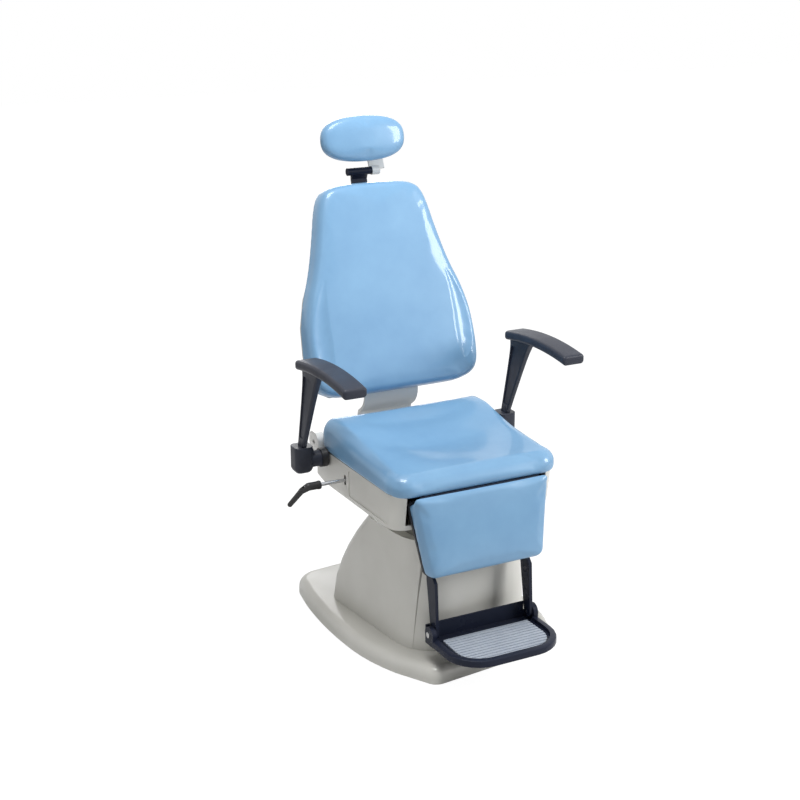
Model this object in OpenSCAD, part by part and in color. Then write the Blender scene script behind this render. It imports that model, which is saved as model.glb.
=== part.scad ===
// Examination chair for ear, nose and throat work: a floor base with a covered lifting column,
// a seat that turns, a reclining backrest with a headrest, arms that flip back, and a legrest
// with a footplate. Millimetres, +Z up, the chair faces -Y and the origin is on the floor,
// on the axis that the seat turns about.

/* [Base] */
// Width of the floor base where it is widest
base_w = 567; // [550:1:590]
// Distance from the swivel axis to the front edge of the base
base_front = 328; // [318:1:340]
// Distance from the swivel axis to the rear edge of the base
base_rear = 418; // [405:1:430]
// Height of the moulded base cover
base_h = 47; // [45:1:50]
// Wall of the base and column covers
cover_wall = 4; // [3:0.5:5]
// Angle that the base stands turned under the seat
base_turn = 6; // [0:1:8]

/* [Column] */
// Height of the fixed column covers above the floor
column_top = 361; // [355:1:366]
// Width of the column at its foot
column_foot_w = 408; // [396:1:412]
// Width of the column at its top
column_top_w = 386; // [380:1:390]
// Distance from the swivel axis to the column's front at the foot
column_front = 247; // [242:1:247]
// Distance from the swivel axis to the column's rear at the foot
column_rear = 232; // [225:1:236]
// Distance from the swivel axis to the column's rear at the top
column_crest = 51; // [48:1:60]
// Side of the outer square tube of the mast
mast_side = 110; // [104:1:116]

/* [Seat] */
// Height of the lower rim of the seat cushion above the floor
seat_z = 517; // [515:1:530]
// Width of the seat cushion
seat_w = 510; // [500:1:516]
// Distance from the swivel axis to the front of the seat cushion
seat_front = 278; // [276:1:280]
// Distance from the swivel axis to the rear of the seat cushion
seat_rear = 182; // [176:1:184]
// Height of the seat shell under the cushion
shell_h = 101; // [99:1:101]
// Wall of the seat shell
shell_wall = 5; // [4:0.5:6]

/* [Backrest] */
// Width of the backrest at its wings
back_w = 542; // [520:1:548]
// Length of the backrest along its slope
back_len = 605; // [590:1:620]
// Lean of the backrest from upright
back_lean = 18.7; // [17:0.1:20]
// Width of the sheet bracket that carries the backrest
bracket_w = 172; // [150:1:180]

/* [Headrest] */
// Width of the headrest pad
head_w = 248; // [230:1:260]
// Height of the headrest pad
head_h = 125; // [115:1:130]
// Thickness of the headrest pad
head_t = 64; // [56:1:66]
// Width of the flat bar that carries the headrest
head_bar_w = 48; // [42:1:52]

/* [Arms] */
// Distance from the chair's middle to the middle of an arm pad
arm_x = 328; // [326:1:340]
// Width of an arm pad
arm_pad_w = 67; // [60:1:72]
// Length of an arm pad
arm_pad_len = 311; // [295:1:320]
// Height of the arm pads above the seat cushion's rim
arm_rise = 306; // [290:1:315]

/* [Legrest] */
// Width of the legrest at its top
leg_top_w = 416; // [400:1:420]
// Width of the legrest at its bottom
leg_bottom_w = 350; // [344:1:370]
// Length of the legrest along its slope
leg_len = 222; // [210:1:228]
// Lean of the legrest from upright
leg_lean = 10.8; // [10.8:0.1:12]
// Thickness of the legrest cushion
leg_pad_t = 42; // [38:1:42]

/* [Footplate] */
// Width of the footplate's rim
foot_w = 328; // [324:1:336]
// Reach of the footplate in front of its pivots
foot_reach = 184; // [170:1:190]
// Height of the footplate's pivots above the floor
foot_pivot_z = 128; // [126:1:136]
// Width of the ribbed mat on the footplate
mat_w = 262; // [250:1:268]

/* [Clamp lever] */
// Length of the steel shaft that shows outside the seat shell
lever_shaft_len = 72; // [60:1:76]
// Length of the lever's handle
lever_len = 72; // [60:1:80]

/* [Hidden] */

$fn = 48;
arc_steps = 7;
overrun = 1;
seat_gap = 0.3;
pin_clearance = 0.05;

// Floor base
base_wide_y = -30;
base_front_bulge = 551;
base_rear_bulge = 1400;
base_front_corner = 35;
base_rear_corner = 80;
base_edge_run = 26;
base_edge_shares = [[0.03, 0], [0.38, 0], [0.56, 0.04], [0.7, 0.12], [0.82, 0.26], [0.91, 0.46], [0.97, 0.7], [1, 1]];
base_side_shares = [0.16, 0.22, 0.28, 0.34, 0.4, 0.46, 0.52, 0.58, 0.64, 0.7, 0.76, 0.82];
floor_plate_t = 10;
floor_plate_gap = 3;
post_r = 13;
post_inset = 62;
mast_flange_w = 190;
mast_flange_t = 8;

// Column covers
column_corner = 112;
column_rear_corner = 46;
column_draft = 11;
column_curve_power = 1.7;
column_level_shares = [0, 0.22, 0.42, 0.6, 0.76, 0.9, 1];
column_seam_foot = 192;
column_seam_top = 208;
seam_gap_foot = 0.6;
seam_gap_top = 6;
column_strip = 32;
column_strip_top = 54;
column_strip_shoulder_share = 0.965;
column_footing = 26;

// Sliding inner cover of the column
inner_cover_side = 33;
inner_cover_front = 222;
inner_cover_rear = 42;
inner_cover_corner = 52;
inner_cover_foot = 172;
inner_cover_wall = 3;
inner_cover_gap = 3;

// Mast and lift
mast_y = -62;
mast_wall = 6;
mast_top = 300;
mast_inner_side = 90;
mast_inner_wall = 5;
mast_inner_foot = 60;
guide_h = 20;
slider_h = 25;
actuator_r = 26;
actuator_top = 258;
rod_r = 12;
rod_foot = 46;
gearbox_w = 60;
gearbox_h = 42;
motor_y = 108;
motor_r = 32;
motor_h = 105;
lift_plate_t = 6;
inlet_w = 50;
inlet_h = 30;
inlet_z = 74;
inlet_depth = 24;

// Swivel bearing
bearing_r = 37;
bearing_bore = 18;
bearing_h = 6;
bearing_gap = 0.3;

// Seat frame and shell
swivel_plate_w = 240;
swivel_drop = 2;
rail_x = 220;
rail_w = 30;
rail_h = 60;
rail_wall = 3;
rail_front = 224;
cross_front = 238;
rail_rear = 190;
cross_h = 20;
cross_w = 30;
cross_rear = 172;
cross_front_h = 8;
beam_w = 40;
beam_y = 100;
shell_front = 268;
shell_front_draft = 14;
shell_rear = 238;
shell_rear_lift = 14;
shell_rear_cut = 52;
shell_front_half = 247;
shell_rear_half = 253;
shell_corner = 52;
shell_rear_corner = 34;
shell_edge = 6;
shell_rear_rim = 464;
shell_notch_half = 211;
shell_notch_z = 432;
shell_window = 128;
recess_depth = 2;
recess_front = 232;
recess_rear = 7;
recess_low = 431;
recess_high = 507;
recess_corner = 9;
board_t = 10;
board_half = 231;
board_front = 205;
board_rear = 176;

// Seat cushion
seat_corner_front = 62;
seat_corner_rear = 36;
seat_roll = 32;
seat_panels = 14;
seat_dish = 24;
seat_crest_rear = 93;
seat_crest_mid = 70;
seat_crest_front = 50;
seat_crest_peak_y = 118;
seat_ring_shares = [[0.2, 0], [0.06, 0.1], [0, 0.26], [0, 0.46], [0.09, 0.64], [0.3, 0.82], [0.62, 0.94], [1, 1]];
seat_fill_shares = [0.85, 0.68, 0.5, 0.3, 0.12];

// Backrest hinge
hinge_y = 212;
hinge_rise = 9;
hinge_r = 8;
hinge_tube_r = 19;
hinge_tube_half = 236;
hinge_plug = 24;
lug_in = 240;
lug_out = 262;
lug_front = 176;
lug_rear = 243;
lug_foot_drop = 52;
lug_corner = 24;
lug_spacer_front = 160;
pin_recess = 6;

// Backrest
back_foot_y = 195;
back_foot_rise = 131;
back_front = 35;
back_rear = 27;
back_shell_t = 17;
back_shell_wall = 4;
back_board_t = 9;
back_roll = 34;
back_side_wall = 5;
back_end_share = 0.2;
back_tail_shares = [[1, 0.5], [0.985, 0.85], [0.95, 1], [-0.95, 1], [-0.985, 0.85], [-1, 0.5]];
back_channel_inset = 46;
back_channel_w = 9;
back_channel_depth = 7;
back_channel_low_share = 0.1;
back_channel_high_share = 0.66;
back_waist_shares = [[0, 0.76], [0.04, 0.93], [0.117, 1], [0.226, 1], [0.352, 0.98], [0.479, 0.908], [0.557, 0.83],
    [0.635, 0.768], [0.726, 0.72], [0.81, 0.675], [0.884, 0.638], [0.945, 0.575], [0.98, 0.49], [1, 0.4]];
back_row_shares = [0, 0.006, 0.018, 0.036, 0.06, 0.09, 0.125, 0.17, 0.226, 0.29, 0.352, 0.415, 0.479, 0.557, 0.635,
    0.726, 0.81, 0.884, 0.93, 0.96, 0.98, 0.993, 1];
back_side_shares = [1, 0.992, 0.97, 0.94, 0.905, 0.87, 0.84, 0.81, 0.77, 0.66, 0.45, 0.22];
bracket_t = 8;
bracket_up = 200;
bracket_sweep_r = 62;
bracket_dip = 3;
bracket_turn_r = 20;
crank_r = 50;
crank_angle = -57.3;
crank_plate_t = 4;
crank_pin_r = 4;
crank_lug_r = 9;

// Headrest
receiver_low = 400;
receiver_high = 570;
receiver_wall = 7;
bar_t = 10;
bar_low = 340;
bar_high = 622;
bar_behind = 53;
barrel_y = 440;
barrel_rise = 726;
barrel_r = 11;
barrel_left = 39;
barrel_right = 37;
head_pivot_y = 470;
head_pivot_over = 75;
head_y = 429;
head_over = 95;
head_lean = 9;
head_power = 2.6;
head_back_share = 0.38;
link_x = 38;
link_w = 48;
link_t = 6;
link_hub_r = 13;
head_hub_r = 10;
head_pin_r = 5;
head_bracket_x = 12;
head_bracket_t = 4;
head_bracket_w = 60;
head_bracket_h = 56;
head_web_share = 0.6;
head_ring_shares = [[0.5, 0], [0.72, 0.04], [0.87, 0.16], [0.96, 0.34], [0.995, 0.5], [1, 0.62], [0.985, 0.76],
    [0.94, 0.87], [0.86, 0.94], [0.7, 0.985], [0.45, 1], [0.15, 1.005]];
head_points = 36;

// Arms
arm_pivot_y = 143;
arm_pivot_drop = 13;
arm_pin_r = 8;
arm_boss_out = 246;
arm_boss_half = 17;
arm_boss_low = 47;
arm_disc_r = 27;
arm_disc_in = 256;
arm_disc_out = 275;
arm_hub_r = 23;
arm_pin_end = 296;
socket_half_w = 27;
socket_front = 118;
socket_rear = 172;
socket_low = 47;
socket_high = 31;
socket_corner = 15;
socket_flare = 6;
socket_pocket = 28;
post_foot_front = 136;
post_foot_rear = 163;
post_head_front = 10;
post_head_rear = 100;
post_front_flare = 12;
post_rear_flare = 8;
post_foot_t = 15;
post_head_t = 22;
post_corner = 5;
post_panel_depth = 2.5;
post_panel_margin = 9;
post_level_shares = [0, 0.3, 0.6, 0.76, 0.86, 0.93, 0.97, 1];
pad_rear = 102;
pad_crown_y = -53;
pad_drop = 14;
pad_t = 27;
pad_edge = 7;
pad_end_corner = 13;
pad_row_shares = [0, 0.006, 0.02, 0.045, 0.14, 0.28, 0.42, 0.56, 0.7, 0.84, 0.955, 0.98, 0.994, 1];
pad_nose_shares = [0.74, 0.84, 0.94, 1, 1, 1, 1, 1, 1, 1, 1, 0.94, 0.84, 0.74];

// Legrest
leg_face_y = 294;
leg_top_drop = 1;
leg_hinge_y = 276;
leg_hinge_drop = 6;
leg_hinge_r = 2.5;
leg_knuckle_r = 4;
leg_knuckle_w = 30;
leg_hinge_half = 180;
leaf_t = 3;
leg_corner = 28;
leg_corner_top = 14;
leg_board_t = 8;
leg_board_top = 11;
leg_board_inset = 1.5;
leg_notch_depth = 14;
leg_notch_h = 15;
leg_crown = 4;
leg_ring_shares = [[0.14, 0], [0, 0.12], [0, 0.55], [0.1, 0.72], [0.3, 0.86], [0.62, 0.96], [1, 1]];
leg_fill_shares = [0.8, 0.58, 0.36, 0.14];
leg_roll = 13;
leg_panels = 9;
leg_bar_in = 141;
leg_bar_t = 9;
leg_bar_r = 15.5;
leg_bar_waist_z = 272;
leg_bar_waist_front = 303;
leg_bar_waist_rear = 257;
leg_bar_top_z = 398;
leg_bar_top_rear = 250;
leg_flange_w = 34;
leg_flange_t = 3;
leg_flange_low = 210;
leg_flange_high = 130;
leg_bolt_r = 6;
leg_bolt_h = 5;
drive_start = 42;
drive_pin_r = 3.5;
drive_gap = 1.5;
drive_tongue_r = 5.5;
drive_tongue_len = 24;
drive_path = [[42, 40], [40, 28.7], [36.3, 22.5], [34.2, 20.9]];
lug_high = 13;
lug_low = 56;
lug_reach = 52;
lug_t = 4;
lug_round = 9;
lug_flange_w = 14;

// Footplate
foot_pivot_y = 298;
foot_pivot_r = 5;
ear_in = 151;
ear_t = 13;
ear_r = 22;
heel_front = 282;
heel_t = 4;
heel_top = 27;
rim_low = 30;
rim_h = 20;
rim_t = 17;
rim_corner = 98;
rim_bevel = 5;
tread_t = 9;
relief_r = 19;
leg_relief = 1.5;
mat_margin = 18;
mat_t = 4;
mat_rib_pitch = 13;
mat_rib_h = 2;
mat_rib_w = 8;
mat_corner = 72;
foot_bolt_head_r = 8;
foot_bolt_head_t = 4;

// Linkage and clamp
link_x_mid = 120;
link_r = 5;
link_eye_t = 6;
link_eye_h = 30;
link_eye_len = 22;
link_slot_w = 11;
link_slot_h = 19;
link_slot_drop = 4.3;
clamp_y = 29;
clamp_drop = 46;
clamp_r = 5;
clamp_block_half = 15;
clamp_block_h = 30;
lever_slot_w = 13;
lever_slot_h = 30;
lever_hub_len = 46;
lever_hub_r = 11;
lever_tip_r = 7;
lever_drop_share = 0.7;
lever_out_share = 0.5;
lever_back_share = 0.28;
screw_r = 4.5;
screw_t = 2;

// Places worked out from the sizes above
base_half = base_w / 2;
column_foot_half = column_foot_w / 2;
column_top_half = column_top_w / 2;
column_h = column_top - base_h;
inner_cover_half = column_top_half - inner_cover_side;
mast_foot = floor_plate_t + mast_flange_t;
swivel_z = seat_z - shell_h - swivel_drop;
bearing_top_z = swivel_z;
bearing_mid_z = bearing_top_z - bearing_h + bearing_gap / 2;
lift_top_z = bearing_mid_z - bearing_gap / 2 - bearing_h;
rail_top = seat_z - board_t;
rail_low = rail_top - rail_h;
hinge_z = seat_z + hinge_rise;
back_foot_z = seat_z + back_foot_rise;
barrel_z = seat_z + barrel_rise;
head_pivot_z = barrel_z + head_pivot_over;
head_z = barrel_z + head_over;
arm_pivot_z = seat_z - arm_pivot_drop;
arm_top_z = seat_z + arm_rise;
socket_floor_z = seat_z - socket_low;
socket_rim_z = seat_z + socket_high;
post_foot_z = socket_rim_z - socket_pocket + seat_gap;
leg_top_z = seat_z - leg_top_drop;
leg_hinge_z = seat_z - leg_hinge_drop;
leg_knuckles = round(2 * leg_hinge_half / leg_knuckle_w);
leg_knuckle_pitch = 2 * leg_hinge_half / leg_knuckles;
link_z = seat_z - clamp_drop;
clamp_z = seat_z - clamp_drop;
shell_floor = seat_z - shell_h;
foot_front = foot_pivot_y + foot_reach;

// Direction of a vector
function unit(v) = v / norm(v);

// Value that lies the share t of the way from a to b
function mix(a, b, t) = a + (b - a) * t;

// Arc that replaces the corner q = [x, y, r] between the points p and s
function round_corner(p, q, s) =
    let (
        u = unit([p.x - q.x, p.y - q.y]),
        w = unit([s.x - q.x, s.y - q.y]),
        half = acos(max(-1, min(1, u * w))) / 2,
        centre = [q.x, q.y] + q[2] / sin(half) * unit(u + w),
        first = [q.x, q.y] + u * q[2] / tan(half) - centre,
        last = [q.x, q.y] + w * q[2] / tan(half) - centre,
        from = atan2(first.y, first.x),
        turn = atan2(last.y, last.x) - from,
        sweep = turn > 180 ? turn - 360 : turn < -180 ? turn + 360 : turn
    )
    [for (i = [0:arc_steps]) centre + q[2] * [cos(from + sweep * i / arc_steps), sin(from + sweep * i / arc_steps)]];

// Closed outline through corners [x, y, r], each rounded by its own radius
function rounded(v) = let (n = len(v)) [
    for (i = [0:n - 1]) each (
        v[i][2] == 0 ? [[v[i].x, v[i].y]] : round_corner(v[(i + n - 1) % n], v[i], v[(i + 1) % n])
    )
];

// The right half of an outline, front to rear, with its mirror image
function both_sides(v) = concat(v, [for (i = [len(v) - 1:-1:0]) [-v[i].x, v[i].y, v[i][2]]]);

// Rounded rectangle between two corners
function rectangle(x0, x1, y0, y1, r) = rounded([[x0, y0, r], [x1, y0, r], [x1, y1, r], [x0, y1, r]]);

// An anticlockwise outline moved inward by d
function inset_outline(p, d) = let (n = len(p)) [
    for (i = [0:n - 1]) let (t = unit(p[(i + 1) % n] - p[(i + n - 1) % n])) p[i] + d * [-t.y, t.x]
];

// An outline with extra points on every stretch longer than step
function divided(p, step) = let (n = len(p)) [
    for (i = [0:n - 1])
        let (a = p[i], b = p[(i + 1) % n], k = max(1, round(norm(b - a) / step)))
        for (j = [0:k - 1]) a + (b - a) * j / k
];

// An outline lifted to the height z
function ring(p, z) = [for (q = p) [q.x, q.y, z]];

// Quarter round that rises from 0 at an edge to 1 at the distance r from it
function roll(e, r) = sqrt(max(0, 1 - pow(1 - min(e / r, 1), 2)));

// Smooth step from 0 to 1
function ease(t) = let (c = max(0, min(1, t))) c * c * (3 - 2 * c);

// Solid through rings that have as many points as each other, stacked along +Z
module loft(rings) {
    n = len(rings[0]);
    m = len(rings);
    sides = [
        for (i = [0:m - 2]) for (j = [0:n - 1]) let (a = i * n + j, b = i * n + (j + 1) % n)
            each [[a, a + n, b + n], [a, b + n, b]]
    ];
    caps = [[for (j = [0:n - 1]) j], [for (j = [n - 1:-1:0]) (m - 1) * n + j]];
    polyhedron(points = [for (r = rings) each r], faces = concat(sides, caps));
}

// A (y, z) profile carried along X from x0 to x1
module along_x(x0, x1) translate([x0, 0, 0]) rotate([90, 0, 90]) linear_extrude(x1 - x0) children();

// A round bar along X through (y, z)
module rod_x(x0, x1, y, z, r) translate([x0, y, z]) rotate([0, 90, 0]) cylinder(h = x1 - x0, r = r);

// A box given by two corners
module block(a, b) translate(a) cube(b - a);

// Turns the base, the column and the mast about the swivel axis
module turned() rotate([0, 0, base_turn]) children();

// Puts a pad drawn face up, with its height along +Y, on the slope of the backrest or of the legrest
module on_backrest() translate([0, back_foot_y, back_foot_z]) rotate([90 - back_lean, 0, 0]) children();
module on_legrest() translate([0, -leg_face_y, leg_top_z]) rotate([90 - leg_lean, 0, 0]) children();

// Draws its children on the left and mirrored on the right
module pair() {
    children();
    mirror([1, 0, 0]) children();
}

// Outline of the floor base: bulging sides, a narrower front and round rear corners
function base_bulge(y) = base_half
    - pow(y - base_wide_y, 2) / 2 / (y < base_wide_y ? base_front_bulge : base_rear_bulge);
base_outline = rounded(both_sides(concat(
    [[base_bulge(-base_front), -base_front, base_front_corner]],
    [for (s = base_side_shares) let (y = mix(-base_front, base_rear, s)) [base_bulge(y), y, 0]],
    [[base_bulge(base_rear), base_rear, base_rear_corner]]
)));

module base_form(wall) {
    top = base_h - wall;
    loft(
        [
            for (s = base_edge_shares) ring(
                inset_outline(base_outline, wall + s[1] * base_edge_run),
                s[0] * top - (wall > 0 && s[1] == 0 ? overrun : 0)
            )
        ]
    );
}

module base_frame() color("dimgray") turned() {
    linear_extrude(floor_plate_t) polygon(inset_outline(base_outline, cover_wall + floor_plate_gap));
    translate([0, mast_y, floor_plate_t]) linear_extrude(mast_flange_t / 2) square(mast_flange_w, center = true);
    for (side = [-1, 1])
        for (y = [post_inset - base_front, (base_rear - base_front) / 2, base_rear - 2 * post_inset])
            translate([side * (base_bulge(y) - post_inset), y, floor_plate_t / 2])
                cylinder(h = base_h - cover_wall - floor_plate_t / 2, r = post_r);
}

module base_cover() color("lightgray") turned() difference() {
    base_form(0);
    base_form(cover_wall);
    translate([0, 0, base_h - 2 * cover_wall]) linear_extrude(3 * cover_wall)
        polygon(inset_outline(column_section(0, cover_wall), column_footing));
}

// Column: half width, front and rear at the share t of its height
function column_half(t) = mix(column_foot_half, column_top_half, t);
function column_back(t) = mix(column_rear, column_crest, pow(t, column_curve_power));
function column_section(t, wall) = rounded(both_sides([
    [column_half(t) - wall, -column_front + column_draft * t + wall, column_corner - wall],
    [column_half(t) - wall, column_back(t) - wall, column_rear_corner - wall]
]));
function column_z(t) = base_h + column_h * t;

module column_form(wall) {
    loft(
        [
            for (t = column_level_shares)
                ring(column_section(t, wall), column_z(t) - (wall > 0 ? (t == 0 ? overrun : wall) : 0))
        ]
    );
}

module column_skin() difference() {
    column_form(0);
    column_form(cover_wall);
    translate([0, 0, column_top - 2 * cover_wall]) linear_extrude(3 * cover_wall)
        polygon(inner_cover_outline(-inner_cover_gap));
}

column_front_region = [
    [-2 * column_front, base_h - overrun], [-column_seam_foot, base_h - overrun],
    [-column_seam_top, column_top + overrun], [-2 * column_front, column_top + overrun]
];
column_strip_line = concat(
    [for (t = [0:0.2:0.8]) [column_back(t) - column_strip, column_z(t) - (t == 0 ? overrun : 0)]],
    [[column_back(column_strip_shoulder_share) - column_strip - cover_wall, column_z(column_strip_shoulder_share)],
    [column_crest - column_strip_top, column_top + overrun]]
);
column_rear_region = concat(
    column_strip_line, [[2 * column_rear, column_top + overrun], [2 * column_rear, base_h - overrun]]
);
column_side_region = concat(
    [[-column_seam_top + seam_gap_top, column_top + overrun], [-column_seam_foot + seam_gap_foot, base_h - overrun]],
    [for (p = column_strip_line) p - [seam_gap_foot, 0]]
);

module column_cover(region, x0, x1) color("lightgray") turned() intersection() {
    column_skin();
    along_x(x0, x1) polygon(region);
}

module column_front_cover() column_cover(column_front_region, -base_half, base_half);
module column_left_cover() column_cover(column_side_region, -base_half, 0);
module column_right_cover() column_cover(column_side_region, 0, base_half);
module column_rear_cover() difference() {
    column_cover(column_rear_region, -base_half, base_half);
    turned() block(
        [-inlet_w / 2 - seat_gap, column_rear - inlet_depth, inlet_z - seat_gap],
        [inlet_w / 2 + seat_gap, column_rear + inlet_depth, inlet_z + inlet_h + seat_gap]
    );
}

module power_inlet() color("black") turned() difference() {
    union() {
        block(
            [-inlet_w / 2, column_rear - inlet_depth, inlet_z],
            [inlet_w / 2, column_rear - cover_wall, inlet_z + inlet_h]
        );
        block(
            [-inlet_w / 2, column_rear - 2 * cover_wall, inlet_z],
            [inlet_w / 2, column_rear + cover_wall / 2, inlet_z + inlet_h]
        );
    }
    block(
        [-inlet_w / 2 + inlet_h / 4, column_rear - inlet_depth + cover_wall, inlet_z + inlet_h / 6],
        [inlet_w / 2 - inlet_h / 4, column_rear + inlet_depth, inlet_z + inlet_h * 5 / 6]
    );
}

// Square tube with an open middle, standing on z0
module square_tube(side, wall, z0, z1) translate([0, mast_y, z0]) linear_extrude(z1 - z0) difference() {
    square(side, center = true);
    square(side - 2 * wall, center = true);
}

module mast_outer() color("gray") turned() difference() {
    union() {
        translate([0, mast_y, floor_plate_t + mast_flange_t / 2]) linear_extrude(mast_flange_t / 2)
            square(mast_flange_w, center = true);
        square_tube(mast_side, mast_wall, mast_foot, mast_top);
    }
    block(
        [-gearbox_w / 2 - overrun, mast_y, mast_foot],
        [gearbox_w / 2 + overrun, mast_y + mast_side, mast_foot + gearbox_h + 2 * overrun]
    );
}

module mast_guide() color("ivory") turned()
    square_tube(
        mast_side - 2 * mast_wall, (mast_side - mast_inner_side) / 2 - mast_wall - seat_gap, mast_top - guide_h,
        mast_top
    );

module mast_inner() color("silver") turned() {
    square_tube(mast_inner_side, mast_inner_wall, mast_inner_foot, lift_top_z - lift_plate_t);
    square_tube(
        mast_side - 2 * mast_wall - 2 * seat_gap, (mast_side - mast_inner_side) / 2 - mast_wall, mast_inner_foot,
        mast_inner_foot + slider_h
    );
}

module lift_actuator() color("slategray") turned() difference() {
    union() {
        translate([0, mast_y, mast_foot]) cylinder(h = actuator_top - mast_foot, r = actuator_r);
        block(
            [-gearbox_w / 2, mast_y, mast_foot], [gearbox_w / 2, mast_y + motor_y + motor_r, mast_foot + gearbox_h]
        );
    }
    translate([0, mast_y, rod_foot - overrun]) cylinder(h = actuator_top, r = rod_r + pin_clearance);
}

module lift_motor() color("darkgray") turned() translate([0, mast_y + motor_y, mast_foot + gearbox_h]) {
    cylinder(h = motor_h - motor_r / 2, r = motor_r);
    cylinder(h = motor_h, r = motor_r * 3 / 4);
}

module lift_rod() color("silver") turned() translate([0, mast_y, rod_foot])
    cylinder(h = lift_top_z - lift_plate_t - rod_foot, r = rod_r);

module lift_plate() color("gray") turned() translate([0, 0, lift_top_z - lift_plate_t]) linear_extrude(lift_plate_t)
    polygon(inner_cover_outline(inner_cover_wall + seat_gap));

module bearing_lower() color("silver") translate([0, 0, lift_top_z]) difference() {
    cylinder(h = bearing_h, r = bearing_r);
    translate([0, 0, -overrun]) cylinder(h = bearing_h + 2 * overrun, r = bearing_bore + pin_clearance);
}

module bearing_upper() color("silver") translate([0, 0, bearing_mid_z + bearing_gap / 2])
    cylinder(h = bearing_top_z - bearing_mid_z - bearing_gap / 2, r = bearing_r);

module swivel_spindle() color("dimgray") translate([0, 0, lift_top_z + seat_gap])
    cylinder(h = bearing_mid_z + bearing_gap / 2 - lift_top_z - seat_gap, r = bearing_bore);

function inner_cover_outline(wall) = rectangle(
    -inner_cover_half + wall, inner_cover_half - wall, -inner_cover_front + wall, inner_cover_rear
        - wall, inner_cover_corner - wall
);

module inner_column_cover() color("gray") turned() difference() {
    translate([0, 0, inner_cover_foot]) linear_extrude(lift_top_z + inner_cover_wall - inner_cover_foot)
        polygon(inner_cover_outline(0));
    translate([0, 0, inner_cover_foot - overrun]) linear_extrude(lift_top_z - inner_cover_foot + overrun)
        polygon(inner_cover_outline(inner_cover_wall));
    translate([0, 0, lift_top_z - overrun]) cylinder(h = bearing_h, r = bearing_r + overrun);
}

// Seat frame: two box rails, two cross tubes and the beams down to the swivel plate
module seat_frame() color("dimgray") difference() {
    union() {
        pair() {
            difference() {
                block([-rail_x - rail_w / 2, -rail_front, rail_low], [-rail_x + rail_w / 2, rail_rear, rail_top]);
                block(
                    [-rail_x - rail_w / 2 + rail_wall, -rail_front - overrun, rail_low + rail_wall],
                    [-rail_x + rail_w / 2 - rail_wall, rail_rear + overrun, rail_top - rail_wall]
                );
            }
            block(
                [-arm_boss_out, arm_pivot_y - arm_boss_half, seat_z - arm_boss_low],
                [-rail_x - rail_w / 2, arm_pivot_y + arm_boss_half, seat_z - overrun]
            );
        }
        block(
            [rail_w / 2 - rail_x - rail_wall, -cross_front, rail_top - cross_front_h],
            [rail_x - rail_w / 2 + rail_wall, cross_w - cross_front, rail_top]
        );
        block(
            [rail_w / 2 - rail_x - rail_wall, cross_rear - cross_w, rail_top - cross_h],
            [rail_x - rail_w / 2 + rail_wall, cross_rear, rail_top]
        );
        for (y = [-beam_y, beam_y])
            block(
                [-rail_x - rail_w / 2, y - beam_w / 2, shell_floor + shell_wall],
                [rail_x + rail_w / 2, y + beam_w / 2, rail_low]
            );
        translate([0, 0, swivel_z]) linear_extrude(shell_wall + swivel_drop) square(swivel_plate_w, center = true);
    }
    rod_x(-rail_x - rail_w, -rail_x + rail_w, clamp_y, clamp_z, clamp_r + overrun);
    for (side = [-1, 1])
        rod_x(
            side * rail_x - arm_boss_out + rail_x - overrun, side * rail_x + arm_boss_out - rail_x + overrun,
            arm_pivot_y, arm_pivot_z, arm_pin_r + pin_clearance
        );
}

// Seat shell: a moulded tray, open at the front behind the legrest and low at the rear
function shell_section(front, rear, wall) = rounded(both_sides([
    [shell_front_half - wall, -front + wall, shell_corner - wall],
    [shell_rear_half - wall, rear - wall, shell_rear_corner - wall]
]));

module shell_form(wall) {
    low = shell_floor + wall;
    loft([
        ring(shell_section(shell_front - shell_front_draft, shell_rear - shell_rear_cut, wall + shell_edge), low),
        ring(
            shell_section(
                shell_front - shell_front_draft, shell_rear - shell_rear_cut + shell_edge, wall + shell_edge / 4
            ),
            low + shell_edge / 2
        ),
        ring(
            shell_section(shell_front - shell_front_draft + overrun, shell_rear - overrun, wall),
            low + shell_rear_lift
        ),
        ring(shell_section(shell_front, shell_rear, wall), seat_z + (wall > 0 ? overrun : 0))
    ]);
}

shell_side_angle = atan((shell_rear_half - shell_front_half) / (shell_rear + shell_front));

module shell_recess() translate([-shell_front_half, -shell_front, 0]) rotate([0, 0, shell_side_angle])
    along_x(-shell_wall, recess_depth) translate([shell_front, 0])
        polygon(rectangle(-recess_front, recess_rear, recess_low, recess_high, recess_corner));

module seat_shell() color("lightgray") difference() {
    shell_form(0);
    shell_form(shell_wall);
    translate([0, 0, shell_floor - overrun]) linear_extrude(shell_wall + 2 * overrun)
        square(2 * shell_window, center = true);
    block(
        [-shell_notch_half, -2 * shell_front, shell_notch_z],
        [shell_notch_half, -shell_front + 2 * shell_corner, seat_z + overrun]
    );
    block([-base_half, lug_spacer_front, shell_rear_rim], [base_half, 2 * shell_rear, seat_z + 2 * overrun]);
    pair() {
        shell_recess();
        along_x(-base_half, -rail_x) polygon(rectangle(
            clamp_y - lever_slot_w / 2, clamp_y + lever_slot_w / 2, clamp_z - lever_slot_h / 2, clamp_z
                + lever_slot_h / 2, lever_slot_w / 2 - seat_gap
        ));
        block(
            [-base_half, arm_pivot_y - arm_pin_r - overrun, arm_pivot_z - arm_pin_r - overrun],
            [-rail_x, arm_pivot_y + arm_pin_r + overrun, seat_z + 2 * overrun]
        );
    }
}

module seat_board() color("burlywood") translate([0, 0, rail_top]) linear_extrude(board_t)
    polygon(rectangle(-board_half, board_half, -board_front, board_rear, seat_corner_rear / 2));

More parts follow.
